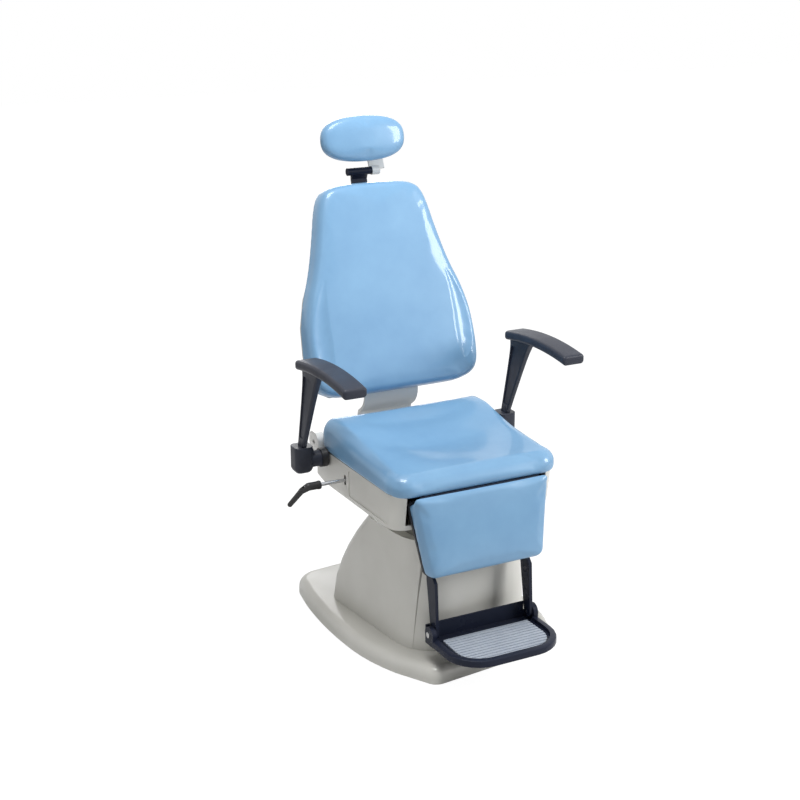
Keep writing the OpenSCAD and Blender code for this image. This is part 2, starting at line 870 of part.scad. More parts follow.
// Height of the seat cushion over its rim: a crest along the sides and the rear, dished in the middle
function seat_top(x, y) =
    let (
        behind = ease((y - seat_crest_peak_y + seat_rear) / seat_rear),
        crest = mix(
            seat_crest_front, mix(seat_crest_mid, seat_crest_rear, behind),
            ease((y + seat_front) / (seat_front + seat_crest_peak_y / 2))
        ),
        aside = pow(abs(x) / (seat_w / 2), 2.2),
        along = ease((y + seat_front) / seat_front) * ease((seat_rear + seat_roll - y) / seat_rear)
    )
    crest - seat_dish * (1 - aside) * along;

seat_outline = divided(rounded(both_sides([
    [seat_w / 2, -seat_front, seat_corner_front],
    [seat_w / 2, seat_rear, seat_corner_rear]
])), seat_w / seat_panels);

// Rings of a cushion: it rolls from its lower rim up to the top that height(x, y) gives, then closes to the middle
function cushion_rings(outline, roll_w, rim, steps, fills, centre, height) = concat(
    [for (s = steps) [for (q = inset_outline(outline, s[0] * roll_w)) [q.x, q.y, rim + s[1] * height(q.x, q.y)]]],
    [
        for (f = fills) [
            for (p = inset_outline(outline, roll_w))
                let (q = centre + f * (p - centre)) [q.x, q.y, rim + height(q.x, q.y)]
        ]
    ]
);

module seat_cushion() color("lightblue") loft(cushion_rings(
    seat_outline, seat_roll, seat_z + seat_gap, seat_ring_shares, seat_fill_shares,
    [0, (seat_rear - seat_front) / 2], function (x, y) seat_top(x, y)
));

// Backrest hinge
module backrest_lugs() color("lightgray") pair() difference() {
    union() {
        along_x(-lug_out, -lug_in) polygon(rounded([
            [lug_front, hinge_z - lug_foot_drop, lug_corner / 4], [
                lug_rear - lug_corner / 2, hinge_z - lug_foot_drop, lug_corner / 4
            ],
            [lug_rear, hinge_z, lug_corner], [
                lug_rear - lug_corner / 4, hinge_z + lug_corner + hinge_r - overrun, lug_corner
            ],
            [lug_front + lug_corner / 4, hinge_z + lug_corner + hinge_r - overrun, lug_corner]
        ]));
        block(
            [-lug_in - overrun, lug_spacer_front + overrun, hinge_z - lug_foot_drop],
            [-rail_x - rail_w / 2, rail_rear, hinge_z - lug_corner]
        );
    }
    rod_x(-lug_out - overrun, -lug_in + overrun, hinge_y, hinge_z, hinge_r + pin_clearance);
}

module backrest_pins() color("silver") pair()
    rod_x(-lug_out + pin_recess, -hinge_tube_half + hinge_plug - overrun, hinge_y, hinge_z, hinge_r);

// Ribbon of the thickness t along the (y, z) points, on the left of their direction
function ribbon(p, t) = let (n = len(p)) concat(p, [
    for (i = [n - 1:-1:0]) let (d = unit(p[min(i + 1, n - 1)] - p[max(i - 1, 0)])) p[i] + t * [-d.y, d.x]
]);

// A point of the backrest's slope, v along it and d behind its middle plane, as (y, z)
function back_point(v, d) = [
    back_foot_y + v * sin(back_lean) + d * cos(back_lean),
    back_foot_z + v * cos(back_lean) - d * sin(back_lean)
];

back_shell_rear = back_rear + back_shell_t + seat_gap;
bracket_foot = back_point(0, back_shell_rear);
bracket_turn = [hinge_y + 3 * hinge_tube_r - 2 * bracket_dip, hinge_z + 2 * bracket_turn_r - bracket_t];
bracket_path = concat(
    [back_point(bracket_up, back_shell_rear), bracket_foot],
    [
        for (a = [15:15:60]) bracket_foot + bracket_sweep_r * [1 - cos(a), -sin(a)] + [
            -bracket_dip * sin(a), -bracket_dip * sin(a)
        ]
    ],
    [for (a = [-30:-30:-180]) bracket_turn + bracket_turn_r * [cos(a + 60), sin(a + 60)]],
    [[hinge_y + hinge_tube_r / 2, hinge_z + hinge_tube_r / 2]]
);

crank_end = [hinge_y + crank_r * cos(crank_angle), hinge_z + crank_r * sin(crank_angle)];

module backrest_bracket() color("whitesmoke") difference() {
    union() {
        rod_x(-hinge_tube_half, hinge_tube_half, hinge_y, hinge_z, hinge_tube_r);
        along_x(-bracket_w / 2, bracket_w / 2) polygon(ribbon(bracket_path, bracket_t));
        for (side = [-1, 1]) {
            x = -link_x_mid + side * (link_eye_t / 2 + crank_plate_t);
            along_x(x - crank_plate_t / 2, x + crank_plate_t / 2) hull() {
                translate([hinge_y, hinge_z]) circle(r = hinge_tube_r);
                translate(crank_end) circle(r = crank_lug_r);
            }
        }
        rod_x(
            -link_x_mid - link_eye_t / 2 - crank_plate_t, -link_x_mid + link_eye_t / 2 + crank_plate_t, crank_end.x,
            crank_end.y, crank_pin_r
        );
    }
    pair() rod_x(
        -hinge_tube_half - overrun, -hinge_tube_half + hinge_plug, hinge_y, hinge_z, hinge_r + pin_clearance
    );
    rod_x(
        -hinge_tube_half + hinge_plug, hinge_tube_half - hinge_plug, hinge_y, hinge_z, hinge_tube_r - back_shell_wall
    );
}

// Half width of the backrest at the height v, from its waist shares
function back_half(v) = back_w / 2 * lookup(v / back_len, back_waist_shares);
back_outline = let (n = len(back_waist_shares)) concat(
    [for (s = back_waist_shares) [back_w / 2 * s[1], back_len * s[0]]],
    [for (i = [n - 1:-1:0]) [-back_w / 2 * back_waist_shares[i][1], back_len * back_waist_shares[i][0]]]
);

module back_pan(inset, rear, front) loft([
    ring(inset_outline(back_outline, inset + back_shell_t), rear),
    ring(inset_outline(back_outline, inset + back_shell_t / 2), rear + back_shell_t / 8),
    ring(inset_outline(back_outline, inset + back_shell_t / 5), rear + back_shell_t / 3),
    ring(inset_outline(back_outline, inset + back_shell_t / 10), front)
]);

module backrest_shell() color("lightgray") on_backrest() difference() {
    back_pan(back_shell_wall, -back_shell_rear, -back_rear - seat_gap);
    back_pan(2 * back_shell_wall, -back_shell_rear + back_shell_wall, -back_rear + overrun);
}

module backrest_board() color("burlywood") on_backrest() translate([0, 0, -back_rear - seat_gap - back_board_t])
    linear_extrude(back_board_t) polygon(inset_outline(back_outline, back_shell_t));

// Front of the backrest cushion: rolled edges and a channel inside each wing
function back_face(x, v, half) =
    let (
        edge = half - abs(x),
        end = min(v, back_len - v),
        run = v / back_len,
        fade = ease((run - back_channel_low_share) * 8) * ease((back_channel_high_share - run) * 5),
        channel = exp(-pow((edge - back_channel_inset) / back_channel_w, 2)) * back_channel_depth * fade
    )
    back_side_wall + (back_front - back_side_wall) * roll(edge, back_roll) * mix(
        back_end_share, 1, roll(end, back_roll)
    ) - channel;

function back_row(s) =
    let (
        v = s * back_len,
        half = back_half(v),
        sides = concat(
            [for (u = back_side_shares) -u], [0], [for (i = [len(back_side_shares) - 1:-1:0]) back_side_shares[i]]
        )
    )
    concat(
        [for (u = sides) [u * half, v, back_face(u * half, v, half)]],
        [for (r = back_tail_shares) [r[0] * half, v, -r[1] * back_rear]]
    );

module backrest_cushion() color("lightblue") on_backrest() loft([for (s = back_row_shares) back_row(s)]);

module headrest_receiver() color("dimgray") on_backrest() difference() {
    block(
        [-head_bar_w / 2 - receiver_wall, receiver_low, -bar_behind - bar_t / 2 - receiver_wall],
        [head_bar_w / 2 + receiver_wall, receiver_high, -back_shell_rear]
    );
    block(
        [-head_bar_w / 2 - seat_gap, receiver_low - overrun, -bar_behind - bar_t / 2 - seat_gap],
        [head_bar_w / 2 + seat_gap, receiver_high + overrun, -bar_behind + bar_t / 2 + seat_gap]
    );
}

// Headrest: a flat bar with a cross barrel, a curved link and the pad's bracket
module headrest_bar() color("darkslategray") difference() {
    union() {
        on_backrest() block(
            [-head_bar_w / 2, bar_low, -bar_behind - bar_t / 2], [head_bar_w / 2, bar_high, -bar_behind + bar_t / 2]
        );
        along_x(-head_bar_w / 2, head_bar_w / 2) polygon([
            back_point(bar_high - overrun, bar_behind - bar_t / 2), back_point(
                bar_high - overrun, bar_behind + bar_t / 2
            ),
            [barrel_y + barrel_r - overrun, barrel_z], [barrel_y, barrel_z + overrun], [
                barrel_y - barrel_r + overrun, barrel_z
            ]
        ]);
        rod_x(-barrel_left, barrel_right, barrel_y, barrel_z, barrel_r);
    }
    rod_x(-barrel_left + barrel_r, barrel_right + overrun, barrel_y, barrel_z, head_pin_r + pin_clearance);
}

link_path = [
    [barrel_y + link_hub_r, barrel_z], [
        mix(barrel_y, head_pivot_y, 0.7) + link_t / 2, mix(barrel_z, head_pivot_z, 0.3)
    ],
    [
        mix(barrel_y, head_pivot_y, 1) + link_t, mix(barrel_z, head_pivot_z, 0.65)
    ], [head_pivot_y + head_hub_r, head_pivot_z]
];

module headrest_link() color("whitesmoke") difference() {
    union() {
        along_x(link_x, link_x + link_w) polygon(ribbon(link_path, link_t));
        rod_x(link_x, link_x + link_w / 2, barrel_y, barrel_z, link_hub_r);
        rod_x(link_x, link_x + link_w, head_pivot_y, head_pivot_z, head_hub_r);
    }
    rod_x(link_x - overrun, link_x + link_w, barrel_y, barrel_z, head_pin_r + pin_clearance);
    rod_x(link_x - overrun, link_x + link_w + overrun, head_pivot_y, head_pivot_z, head_pin_r + pin_clearance);
}

module headrest_pins() color("silver") {
    rod_x(-barrel_left + barrel_r + overrun, link_x + link_w / 2 + overrun, barrel_y, barrel_z, head_pin_r);
    rod_x(head_bracket_x - overrun, link_x + link_w + overrun, head_pivot_y, head_pivot_z, head_pin_r);
}

// Puts the headrest pad, drawn face up, at its place
module on_headrest() translate([0, head_y, head_z]) rotate([90 - head_lean, 0, 0]) children();
head_back = head_t * head_back_share;
head_pivot_behind = (head_pivot_y - head_y) * cos(head_lean) - (head_pivot_z - head_z) * sin(head_lean);
head_pivot_up = (head_pivot_y - head_y) * sin(head_lean) + (head_pivot_z - head_z) * cos(head_lean);

// A point up along the pad's back and behind the pad, as (y, z)
function head_point(up, behind) = [
    head_y + up * sin(head_lean) + behind * cos(head_lean),
    head_z + up * cos(head_lean) - behind * sin(head_lean)
];

module headrest_bracket() color("gray") {
    web = head_hub_r * head_web_share;
    along_x(head_bracket_x, link_x - seat_gap) difference() {
        union() {
            translate([head_pivot_y, head_pivot_z]) circle(r = head_hub_r);
            polygon([
                head_point(head_pivot_up - web, head_pivot_behind), head_point(
                    head_pivot_up - web, head_back + seat_gap + head_bracket_t / 2
                ),
                head_point(
                    head_pivot_up + web, head_back + seat_gap + head_bracket_t / 2
                ), head_point(head_pivot_up + web, head_pivot_behind)
            ]);
        }
        translate([head_pivot_y, head_pivot_z]) circle(r = head_pin_r + pin_clearance);
    }
    on_headrest() block(
        [-head_bracket_w / 2, -head_bracket_h / 2, -head_back - seat_gap - head_bracket_t],
        [head_bracket_w / 2, head_bracket_h / 2, -head_back - seat_gap]
    );
}

function head_ring(share, rise) = [
    for (i = [0:head_points - 1])
        let (a = i * 360 / head_points, c = cos(a), s = sin(a))
        [
            share * head_w / 2 * sign(c) * pow(abs(c), 2 / head_power),
            share * head_h / 2 * sign(s) * pow(abs(s), 2 / head_power),
            mix(-head_back, head_t - head_back, rise)
        ]
];

module headrest_cushion() color("lightblue") on_headrest() loft([for (s = head_ring_shares) head_ring(s[0], s[1])]);

// Arms
module arm_pins() color("silver") pair()
    rod_x(-arm_pin_end, -rail_x - rail_w / 2, arm_pivot_y, arm_pivot_z, arm_pin_r);

module arm_discs() color("black") pair() difference() {
    rod_x(-arm_disc_out, -arm_disc_in, arm_pivot_y, arm_pivot_z, arm_disc_r);
    rod_x(-arm_disc_out - overrun, -arm_disc_in + overrun, arm_pivot_y, arm_pivot_z, arm_pin_r + pin_clearance);
}

function socket_section(inset) = rectangle(
    -arm_x - socket_half_w + inset, -arm_x + socket_half_w - inset, socket_front + inset, socket_rear
        - inset, socket_corner - inset / 2
);

module arm_socket() color("darkslategray") difference() {
    union() {
        loft([
            ring(socket_section(socket_corner), socket_floor_z),
            ring(socket_section(socket_corner / 2), socket_floor_z + socket_corner / 6),
            ring(socket_section(socket_corner / 5), socket_floor_z + socket_corner / 2),
            ring(socket_section(0), socket_floor_z + socket_corner),
            ring(socket_section(0), socket_rim_z - overrun),
            ring(socket_section(overrun), socket_rim_z)
        ]);
        rod_x(-arm_x, -arm_disc_out - seat_gap, arm_pivot_y, arm_pivot_z, arm_hub_r);
        translate([0, arm_pivot_y, 0]) rotate([90, 0, 0]) translate([0, 0, -arm_hub_r * 3 / 4])
            linear_extrude(arm_hub_r * 3 / 2)
            polygon([
                [-arm_x, arm_pivot_z - arm_hub_r * 3 / 4], [
                    -arm_disc_out - seat_gap, arm_pivot_z - arm_hub_r * 3 / 4
                ],
                [-arm_disc_out - seat_gap, arm_pivot_z + arm_hub_r / 2], [
                    -arm_x + socket_half_w + socket_flare, arm_pivot_z + arm_hub_r * 3 / 4
                ],
                [-arm_x + socket_half_w - overrun, socket_rim_z - socket_flare], [-arm_x, socket_rim_z - socket_flare]
            ]);
    }
    rod_x(-arm_pin_end - seat_gap, -arm_disc_out + overrun, arm_pivot_y, arm_pivot_z, arm_pin_r + pin_clearance);
    loft([
        ring(post_section(0, seat_gap), socket_rim_z - socket_pocket),
        ring(post_section((socket_pocket + overrun) / (post_head_z - post_foot_z), seat_gap), socket_rim_z + overrun)
    ]);
}

module arm_socket_left() arm_socket();
module arm_socket_right() mirror([1, 0, 0]) arm_socket();

// Post of an arm: a blade that leans forward and flares into the pad
post_head_z = arm_top_z - pad_t - seat_gap;
function post_section(t, gap) =
    let (
        front = mix(post_foot_front, post_head_front, t) - post_front_flare * pow(t, 12),
        rear = mix(post_foot_rear, post_head_rear, t) + post_rear_flare * pow(t, 14),
        half = mix(post_foot_t, post_head_t, pow(t, 3)) / 2
    )
    rectangle(-arm_x - half - gap, -arm_x + half + gap, front - gap, rear + gap, post_corner + gap);

// Top of the post: a plane just under the arched pad
function post_top(y) = mix(
    pad_top(post_head_front - post_front_flare), pad_top(post_head_rear + post_rear_flare),
    (y - post_head_front + post_front_flare) / (post_head_rear + post_rear_flare - post_head_front + post_front_flare)
) - pad_t - seat_gap;

module post_panel(side) translate([-arm_x, 0, 0]) {
    z0 = mix(post_foot_z, post_head_z, 0.2);
    z1 = mix(post_foot_z, post_head_z, 0.88);
    x0 = side * (post_foot_t / 2 - post_panel_depth);
    y0 = mix(post_foot_front, post_head_front, 0.2) + post_panel_margin;
    y1 = mix(post_foot_rear, post_head_rear, 0.2) - post_panel_margin;
    y2 = mix(post_foot_front, post_head_front, 0.88) + post_panel_margin;
    y3 = mix(post_foot_rear, post_head_rear, 0.88) - post_panel_margin;
    along_x(min(x0, side * post_head_t), max(x0, side * post_head_t))
        polygon(
            rounded(
                [
                    [y0, z0, post_corner / 2], [y1, z0, post_corner / 2], [y3, z1, post_corner / 2],
                    [y2, z1, post_corner / 2]
                ]
            )
        );
}

module arm_post() color("darkslategray") difference() {
    loft([for (t = post_level_shares) [
        for (q = post_section(t, 0)) [
            q.x, q.y, mix(post_foot_z, post_head_z, t) + (post_top(q.y) - post_head_z) * pow(t, 3)
        ]
    ]]);
    post_panel(-1);
    post_panel(1);
}

module arm_post_left() arm_post();
module arm_post_right() mirror([1, 0, 0]) arm_post();

// Pad of an arm: arched along Y, with square-cut ends and a bevelled edge
function pad_top(y) = arm_top_z - pad_drop * pow((y - pad_crown_y) / (arm_pad_len - pad_rear + pad_crown_y), 2);
function pad_row(i) =
    let (
        y = mix(pad_rear - arm_pad_len, pad_rear, pad_row_shares[i]),
        half = arm_pad_w / 2 * pad_nose_shares[i],
        top = pad_top(y),
        low = top - pad_t,
        nose = (1 - pad_nose_shares[i]) * pad_end_corner
    )
    [
        for (p = [
            [-half, low + pad_edge + nose], [-half, top - pad_edge - nose], [
                -half + pad_edge / 3, top - pad_edge / 3 - nose
            ],
            [-half + pad_edge, top - nose], [0, top - nose / 2], [half - pad_edge, top - nose],
            [
                half - pad_edge / 3, top - pad_edge / 3 - nose
            ], [half, top - pad_edge - nose], [half, low + pad_edge + nose],
            [half - pad_edge / 3, low + pad_edge / 3 + nose], [half - pad_edge, low + nose], [0, low + nose / 2],
            [-half + pad_edge, low + nose], [-half + pad_edge / 3, low + pad_edge / 3 + nose]
        ]) [-arm_x + p.x, y, p.y]
    ];

module arm_pad() color("darkslategray") loft([for (i = [0:len(pad_row_shares) - 1]) pad_row(i)]);

module arm_pad_left() arm_pad();
module arm_pad_right() mirror([1, 0, 0]) arm_pad();

// Legrest: it hangs from a piano hinge under the front of the seat
module knuckles(first) for (i = [first:2:leg_knuckles - 1]) {
    x = -leg_hinge_half + i * leg_knuckle_pitch;
    rod_x(x + seat_gap, x + leg_knuckle_pitch - seat_gap, -leg_hinge_y, leg_hinge_z, leg_knuckle_r);
}

module legrest_fixed_leaf() color("silver") {
    block(
        [-leg_hinge_half, leg_knuckle_r + overrun - leg_hinge_y, rail_top],
        [leg_hinge_half, -board_front - overrun, rail_top + leaf_t]
    );
    for (i = [0:2:leg_knuckles - 1]) {
        x = -leg_hinge_half + i * leg_knuckle_pitch;
        block(
            [x + seat_gap, -leg_hinge_y, rail_top],
            [x + leg_knuckle_pitch - seat_gap, leg_knuckle_r + 2 * overrun - leg_hinge_y, rail_top + leaf_t]
        );
    }
    knuckles(0);
    rod_x(-leg_hinge_half, leg_hinge_half, -leg_hinge_y, leg_hinge_z, leg_hinge_r);
}

module legrest_moving_leaf() color("silver") difference() {
    union() {
        knuckles(1);
        for (i = [1:2:leg_knuckles - 1]) {
            x = -leg_hinge_half + i * leg_knuckle_pitch;
            block(
                [x + seat_gap, -leg_hinge_y - leg_knuckle_r, rail_top - 2 * leaf_t],
                [x + leg_knuckle_pitch - seat_gap, -leg_hinge_y, leg_hinge_z - leg_hinge_r]
            );
        }
        block(
            [-leg_hinge_half, -leg_hinge_y - leg_knuckle_r, rail_top - leaf_t * 5 / 3],
            [leg_hinge_half, leg_leaf_rear, rail_top - leaf_t * 2 / 3]
        );
    }
    rod_x(
        -leg_hinge_half - overrun, leg_hinge_half + overrun, -leg_hinge_y, leg_hinge_z, leg_hinge_r + pin_clearance
    );
}

function leg_outline(inset, top) = rounded(both_sides([
    [leg_bottom_w / 2 - inset, -leg_len + inset, leg_corner - inset],
    [leg_top_w / 2 - inset, -top, leg_corner_top - inset]
]));
// Where the legrest board's front face stands at the height of the leaf
leg_leaf_rear = -leg_face_y + (leg_pad_t + seat_gap) * cos(leg_lean) - (leg_top_z - rail_top + leaf_t)
    * tan(leg_lean);

module legrest_board() color("dimgray") on_legrest() translate([0, 0, -leg_pad_t - seat_gap - leg_board_t])
    linear_extrude(leg_board_t)
    polygon(leg_outline(leg_board_inset, leg_board_top));

function leg_face(x, y) = leg_pad_t - leg_crown + leg_crown * (1 - pow(2 * x / leg_top_w, 2))
    * (1 - pow(1 + 2 * y / leg_len, 2));

// A point of the legrest's drive, back from the hinge and below it, as (y, z)
function drive_point(p) = [p.x - leg_hinge_y, leg_hinge_z - p.y];
lug_inner = link_eye_t / 2 + lug_t / 2;

// Two slotted lugs behind the board that the push rod's cross pin works in
module legrest_lugs() color("silver") difference() {
    for (side = [-1, 1]) {
        near = -link_x_mid + side * lug_inner;
        far = near + side * lug_t;
        toe = far + side * lug_flange_w;
        along_x(min(near, far), max(near, far)) polygon(rounded([
            [
                leg_board_rear(leg_hinge_z - lug_low), leg_hinge_z - lug_low, 0
            ], [lug_reach - leg_hinge_y, leg_hinge_z - lug_low, lug_round],
            [lug_reach - leg_hinge_y, leg_hinge_z - lug_high, lug_round], [
                leg_board_rear(leg_hinge_z - lug_high), leg_hinge_z - lug_high, 0
            ]
        ]));
        on_legrest() block(
            [min(near, toe), -lug_low, -leg_pad_t - seat_gap - leg_board_t - leg_flange_t],
            [max(near, toe), -lug_high - leg_flange_t, -leg_pad_t - seat_gap - leg_board_t]
        );
    }
    along_x(-link_x_mid - lug_inner - lug_t - overrun, -link_x_mid + lug_inner + lug_t + overrun)
        for (i = [0:len(drive_path) - 2]) hull() {
            translate(drive_point(drive_path[i])) circle(r = drive_pin_r + drive_gap);
            translate(drive_point(drive_path[i + 1])) circle(r = drive_pin_r + drive_gap);
        }
}

module legrest_cushion() color("lightblue") on_legrest() difference() {
    loft(cushion_rings(
        divided(leg_outline(0, 0), leg_top_w / leg_panels), leg_roll, -leg_pad_t, leg_ring_shares, leg_fill_shares,
        [0, -leg_len / 2], function (x, y) leg_face(x, y)
    ));
    block([-leg_top_w, -leg_notch_h, -2 * leg_pad_t], [leg_top_w, leg_notch_h, -leg_notch_depth]);
}

// Legs: flat bars behind the legrest that carry the footplate
function leg_board_rear(z) = -leg_face_y + (leg_pad_t + seat_gap + leg_board_t) / cos(leg_lean) - (leg_top_z - z)
    * tan(leg_lean);
leg_board_foot_z = leg_top_z - leg_len * cos(leg_lean) - leg_pad_t * sin(leg_lean);

module leg_bar(x) color("darkslategray") difference() {
    union() {
        along_x(x, x + leg_bar_t) {
            translate([-foot_pivot_y, foot_pivot_z]) circle(r = leg_bar_r);
            polygon([
                [-foot_pivot_y - leg_bar_r, foot_pivot_z], [-foot_pivot_y + leg_bar_r, foot_pivot_z],
                [-leg_bar_waist_rear, leg_bar_waist_z], [-leg_bar_top_rear, leg_bar_top_z],
                [leg_board_rear(leg_bar_top_z), leg_bar_top_z], [leg_board_rear(leg_board_foot_z), leg_board_foot_z],
                [leg_board_rear(leg_board_foot_z) - leg_flange_t, leg_board_foot_z - leg_flange_t],
                [-leg_bar_waist_front, leg_bar_waist_z]
            ]);
        }
        on_legrest() block(
            [
                x + leg_bar_t / 2 - leg_flange_w / 2, -leg_flange_low,
                -leg_pad_t - seat_gap - leg_board_t - leg_flange_t
            ],
            [x + leg_bar_t / 2 + leg_flange_w / 2, -leg_flange_high, -leg_pad_t - seat_gap - leg_board_t]
        );
    }
    rod_x(x - overrun, x + leg_bar_t + overrun, -foot_pivot_y, foot_pivot_z, foot_pivot_r + pin_clearance);
}

module leg_left() leg_bar(-leg_bar_in - leg_bar_t);
module leg_right() leg_bar(leg_bar_in);

module leg_bolts() color("silver") on_legrest() for (side = [-1, 1])
    for (v = [leg_flange_low - leg_bolt_r * 2, leg_flange_high + leg_bolt_r * 2])
        for (across = [-1, 1])
            translate([
                side * (leg_bar_in + leg_bar_t / 2) + across * (leg_flange_w + leg_bar_t) / 4, -v,
                -leg_pad_t - seat_gap - leg_board_t - leg_flange_t - leg_bolt_h
            ]) cylinder(h = leg_bolt_h, r = leg_bolt_r - 2 * overrun);

// Footplate: ears on the pivots, a heel panel, a tread and a bent rim
function foot_outline(inset) = rounded([
    [foot_w / 2 - inset, -foot_pivot_y, 0], [-foot_w / 2 + inset, -foot_pivot_y, 0],
    [
        -foot_w / 2 + inset, -foot_front + inset, rim_corner - inset
    ], [foot_w / 2 - inset, -foot_front + inset, rim_corner - inset]
]);
rim_z = foot_pivot_z - rim_low;

module footplate_frame() color("darkslategray") difference() {
    union() {
        loft([
            ring(foot_outline(rim_bevel / 2), rim_z), ring(foot_outline(0), rim_z + rim_bevel / 2),
            ring(foot_outline(0), rim_z + rim_h - rim_bevel), ring(
                foot_outline(rim_bevel / 3), rim_z + rim_h - rim_bevel / 3
            ),
            ring(foot_outline(rim_bevel), rim_z + rim_h)
        ]);
        pair() {
            rod_x(-ear_in - ear_t, -ear_in, -foot_pivot_y, foot_pivot_z, ear_r);
            block([-ear_in - ear_t, -foot_pivot_y - ear_r, rim_z], [-ear_in, -heel_front + heel_t, foot_pivot_z]);
        }
        block(
            [-ear_in - ear_t, -heel_front, rim_z],
            [ear_in + ear_t, -heel_front + heel_t, foot_pivot_z + heel_top - heel_t]
        );
        block(
            [-ear_in - ear_t, -foot_pivot_y - overrun, rim_z], [ear_in + ear_t, -heel_front + heel_t, rim_z + tread_t]
        );
        rod_x(-leg_bar_in, leg_bar_in, -heel_front + heel_t / 2, foot_pivot_z + heel_top - heel_t, heel_t / 2);
    }
    translate([0, 0, rim_z + tread_t]) linear_extrude(rim_h) polygon(foot_outline(rim_t));
    block([-ear_in, -foot_pivot_y - rim_t, rim_z + tread_t], [ear_in, -heel_front, foot_pivot_z + 2 * ear_r]);
    pair() {
        rod_x(-ear_in, -leg_bar_in + leg_relief, -foot_pivot_y, foot_pivot_z, relief_r);
        block(
            [-ear_in, -foot_pivot_y, foot_pivot_z - leg_relief],
            [-leg_bar_in + leg_relief, -heel_front + 2 * heel_t, foot_pivot_z + 2 * ear_r]
        );
        rod_x(
            -ear_in - ear_t - overrun, -ear_in + overrun, -foot_pivot_y, foot_pivot_z, foot_pivot_r + pin_clearance
        );
    }
}

mat_front = foot_front - rim_t - overrun;
function mat_outline() = rounded([
    [mat_w / 2, -foot_pivot_y - mat_margin, mat_t], [-mat_w / 2, -foot_pivot_y - mat_margin, mat_t],
    [-mat_w / 2 - mat_t, -mat_front, mat_corner], [mat_w / 2 + mat_t, -mat_front, mat_corner]
]);

module footplate_mat() color("slategray") intersection() {
    translate([0, 0, rim_z + tread_t]) linear_extrude(mat_t + mat_rib_h) polygon(mat_outline());
    union() {
        block([-foot_w, -foot_front, rim_z + tread_t], [foot_w, -foot_pivot_y, rim_z + tread_t + mat_t]);
        for (y = [-foot_front + mat_rib_pitch / 2:mat_rib_pitch:-foot_pivot_y])
            block(
                [-foot_w, y, rim_z + tread_t + mat_t - overrun],
                [foot_w, y + mat_rib_w, rim_z + tread_t + mat_t + mat_rib_h]
            );
    }
}

module footplate_bolts() color("silver") pair() {
    rod_x(-ear_in - ear_t, -leg_bar_in - overrun, -foot_pivot_y, foot_pivot_z, foot_pivot_r);
    rod_x(-ear_in - ear_t - foot_bolt_head_t, -ear_in - ear_t, -foot_pivot_y, foot_pivot_z, foot_bolt_head_r);
}

// Linkage: a rod under the seat that raises the legrest as the backrest reclines
module link_eye(y, z) difference() {
    block(
        [-link_x_mid - link_eye_t / 2, y - link_eye_len / 2, z - link_eye_h / 2],
        [-link_x_mid + link_eye_t / 2, y + link_eye_len / 2, z + link_eye_h / 2]
    );
    block(
        [-link_x_mid - link_eye_t, y - link_slot_w / 2, z - link_slot_h / 2],
        [-link_x_mid + link_eye_t, y + link_slot_w / 2, z + link_slot_h / 2]
    );
}

module link_rod() color("silver") {
    front = drive_start - leg_hinge_y;
    tongue = front + drive_tongue_len;
    link_eye(crank_end.x, crank_end.y - link_slot_drop);
    translate([-link_x_mid, tongue - overrun, link_z]) rotate([-90, 0, 0])
        cylinder(h = crank_end.x - link_eye_len / 2 - tongue + 2 * overrun, r = link_r);
    rod_x(-link_x_mid - link_eye_t / 2, -link_x_mid + link_eye_t / 2, front, link_z, drive_tongue_r);
    block(
        [-link_x_mid - link_eye_t / 2, front, link_z - drive_tongue_r],
        [-link_x_mid + link_eye_t / 2, tongue, link_z + drive_tongue_r]
    );
    rod_x(
        -link_x_mid - lug_inner - lug_t, -link_x_mid + lug_inner + lug_t, front, link_z, drive_pin_r
    );
}

module clamp_block() color("gray") difference() {
    union() {
        block(
            [-link_x_mid - clamp_block_half, clamp_y - clamp_block_half, clamp_z - clamp_block_h / 2],
            [-link_x_mid + clamp_block_half, clamp_y + clamp_block_half, clamp_z + clamp_block_h / 2]
        );
        block(
            [-link_x_mid - clamp_block_half, clamp_y - clamp_block_half, clamp_z],
            [-link_x_mid + clamp_block_half, clamp_y + clamp_block_half, rail_top]
        );
    }
    translate([-link_x_mid, clamp_y - clamp_block_half - overrun, link_z]) rotate([-90, 0, 0])
        cylinder(h = 2 * clamp_block_half + 2 * overrun, r = link_r + seat_gap);
    rod_x(-link_x_mid - clamp_block_half - overrun, -link_x_mid, clamp_y, clamp_z, clamp_r + pin_clearance);
}

// Clamp lever: a steel shaft with a bent plastic handle
lever_in = -shell_rear_half;
lever_hub_x = lever_in - lever_shaft_len;
lever_end_x = lever_hub_x - lever_hub_len;
lever_out = lever_len * lever_out_share;
lever_back = lever_len * lever_back_share;
lever_drop = lever_len * lever_drop_share;

module clamp_shaft() color("silver")
    rod_x(lever_hub_x - lever_hub_len / 2, -link_x_mid - link_r - overrun, clamp_y, clamp_z, clamp_r);

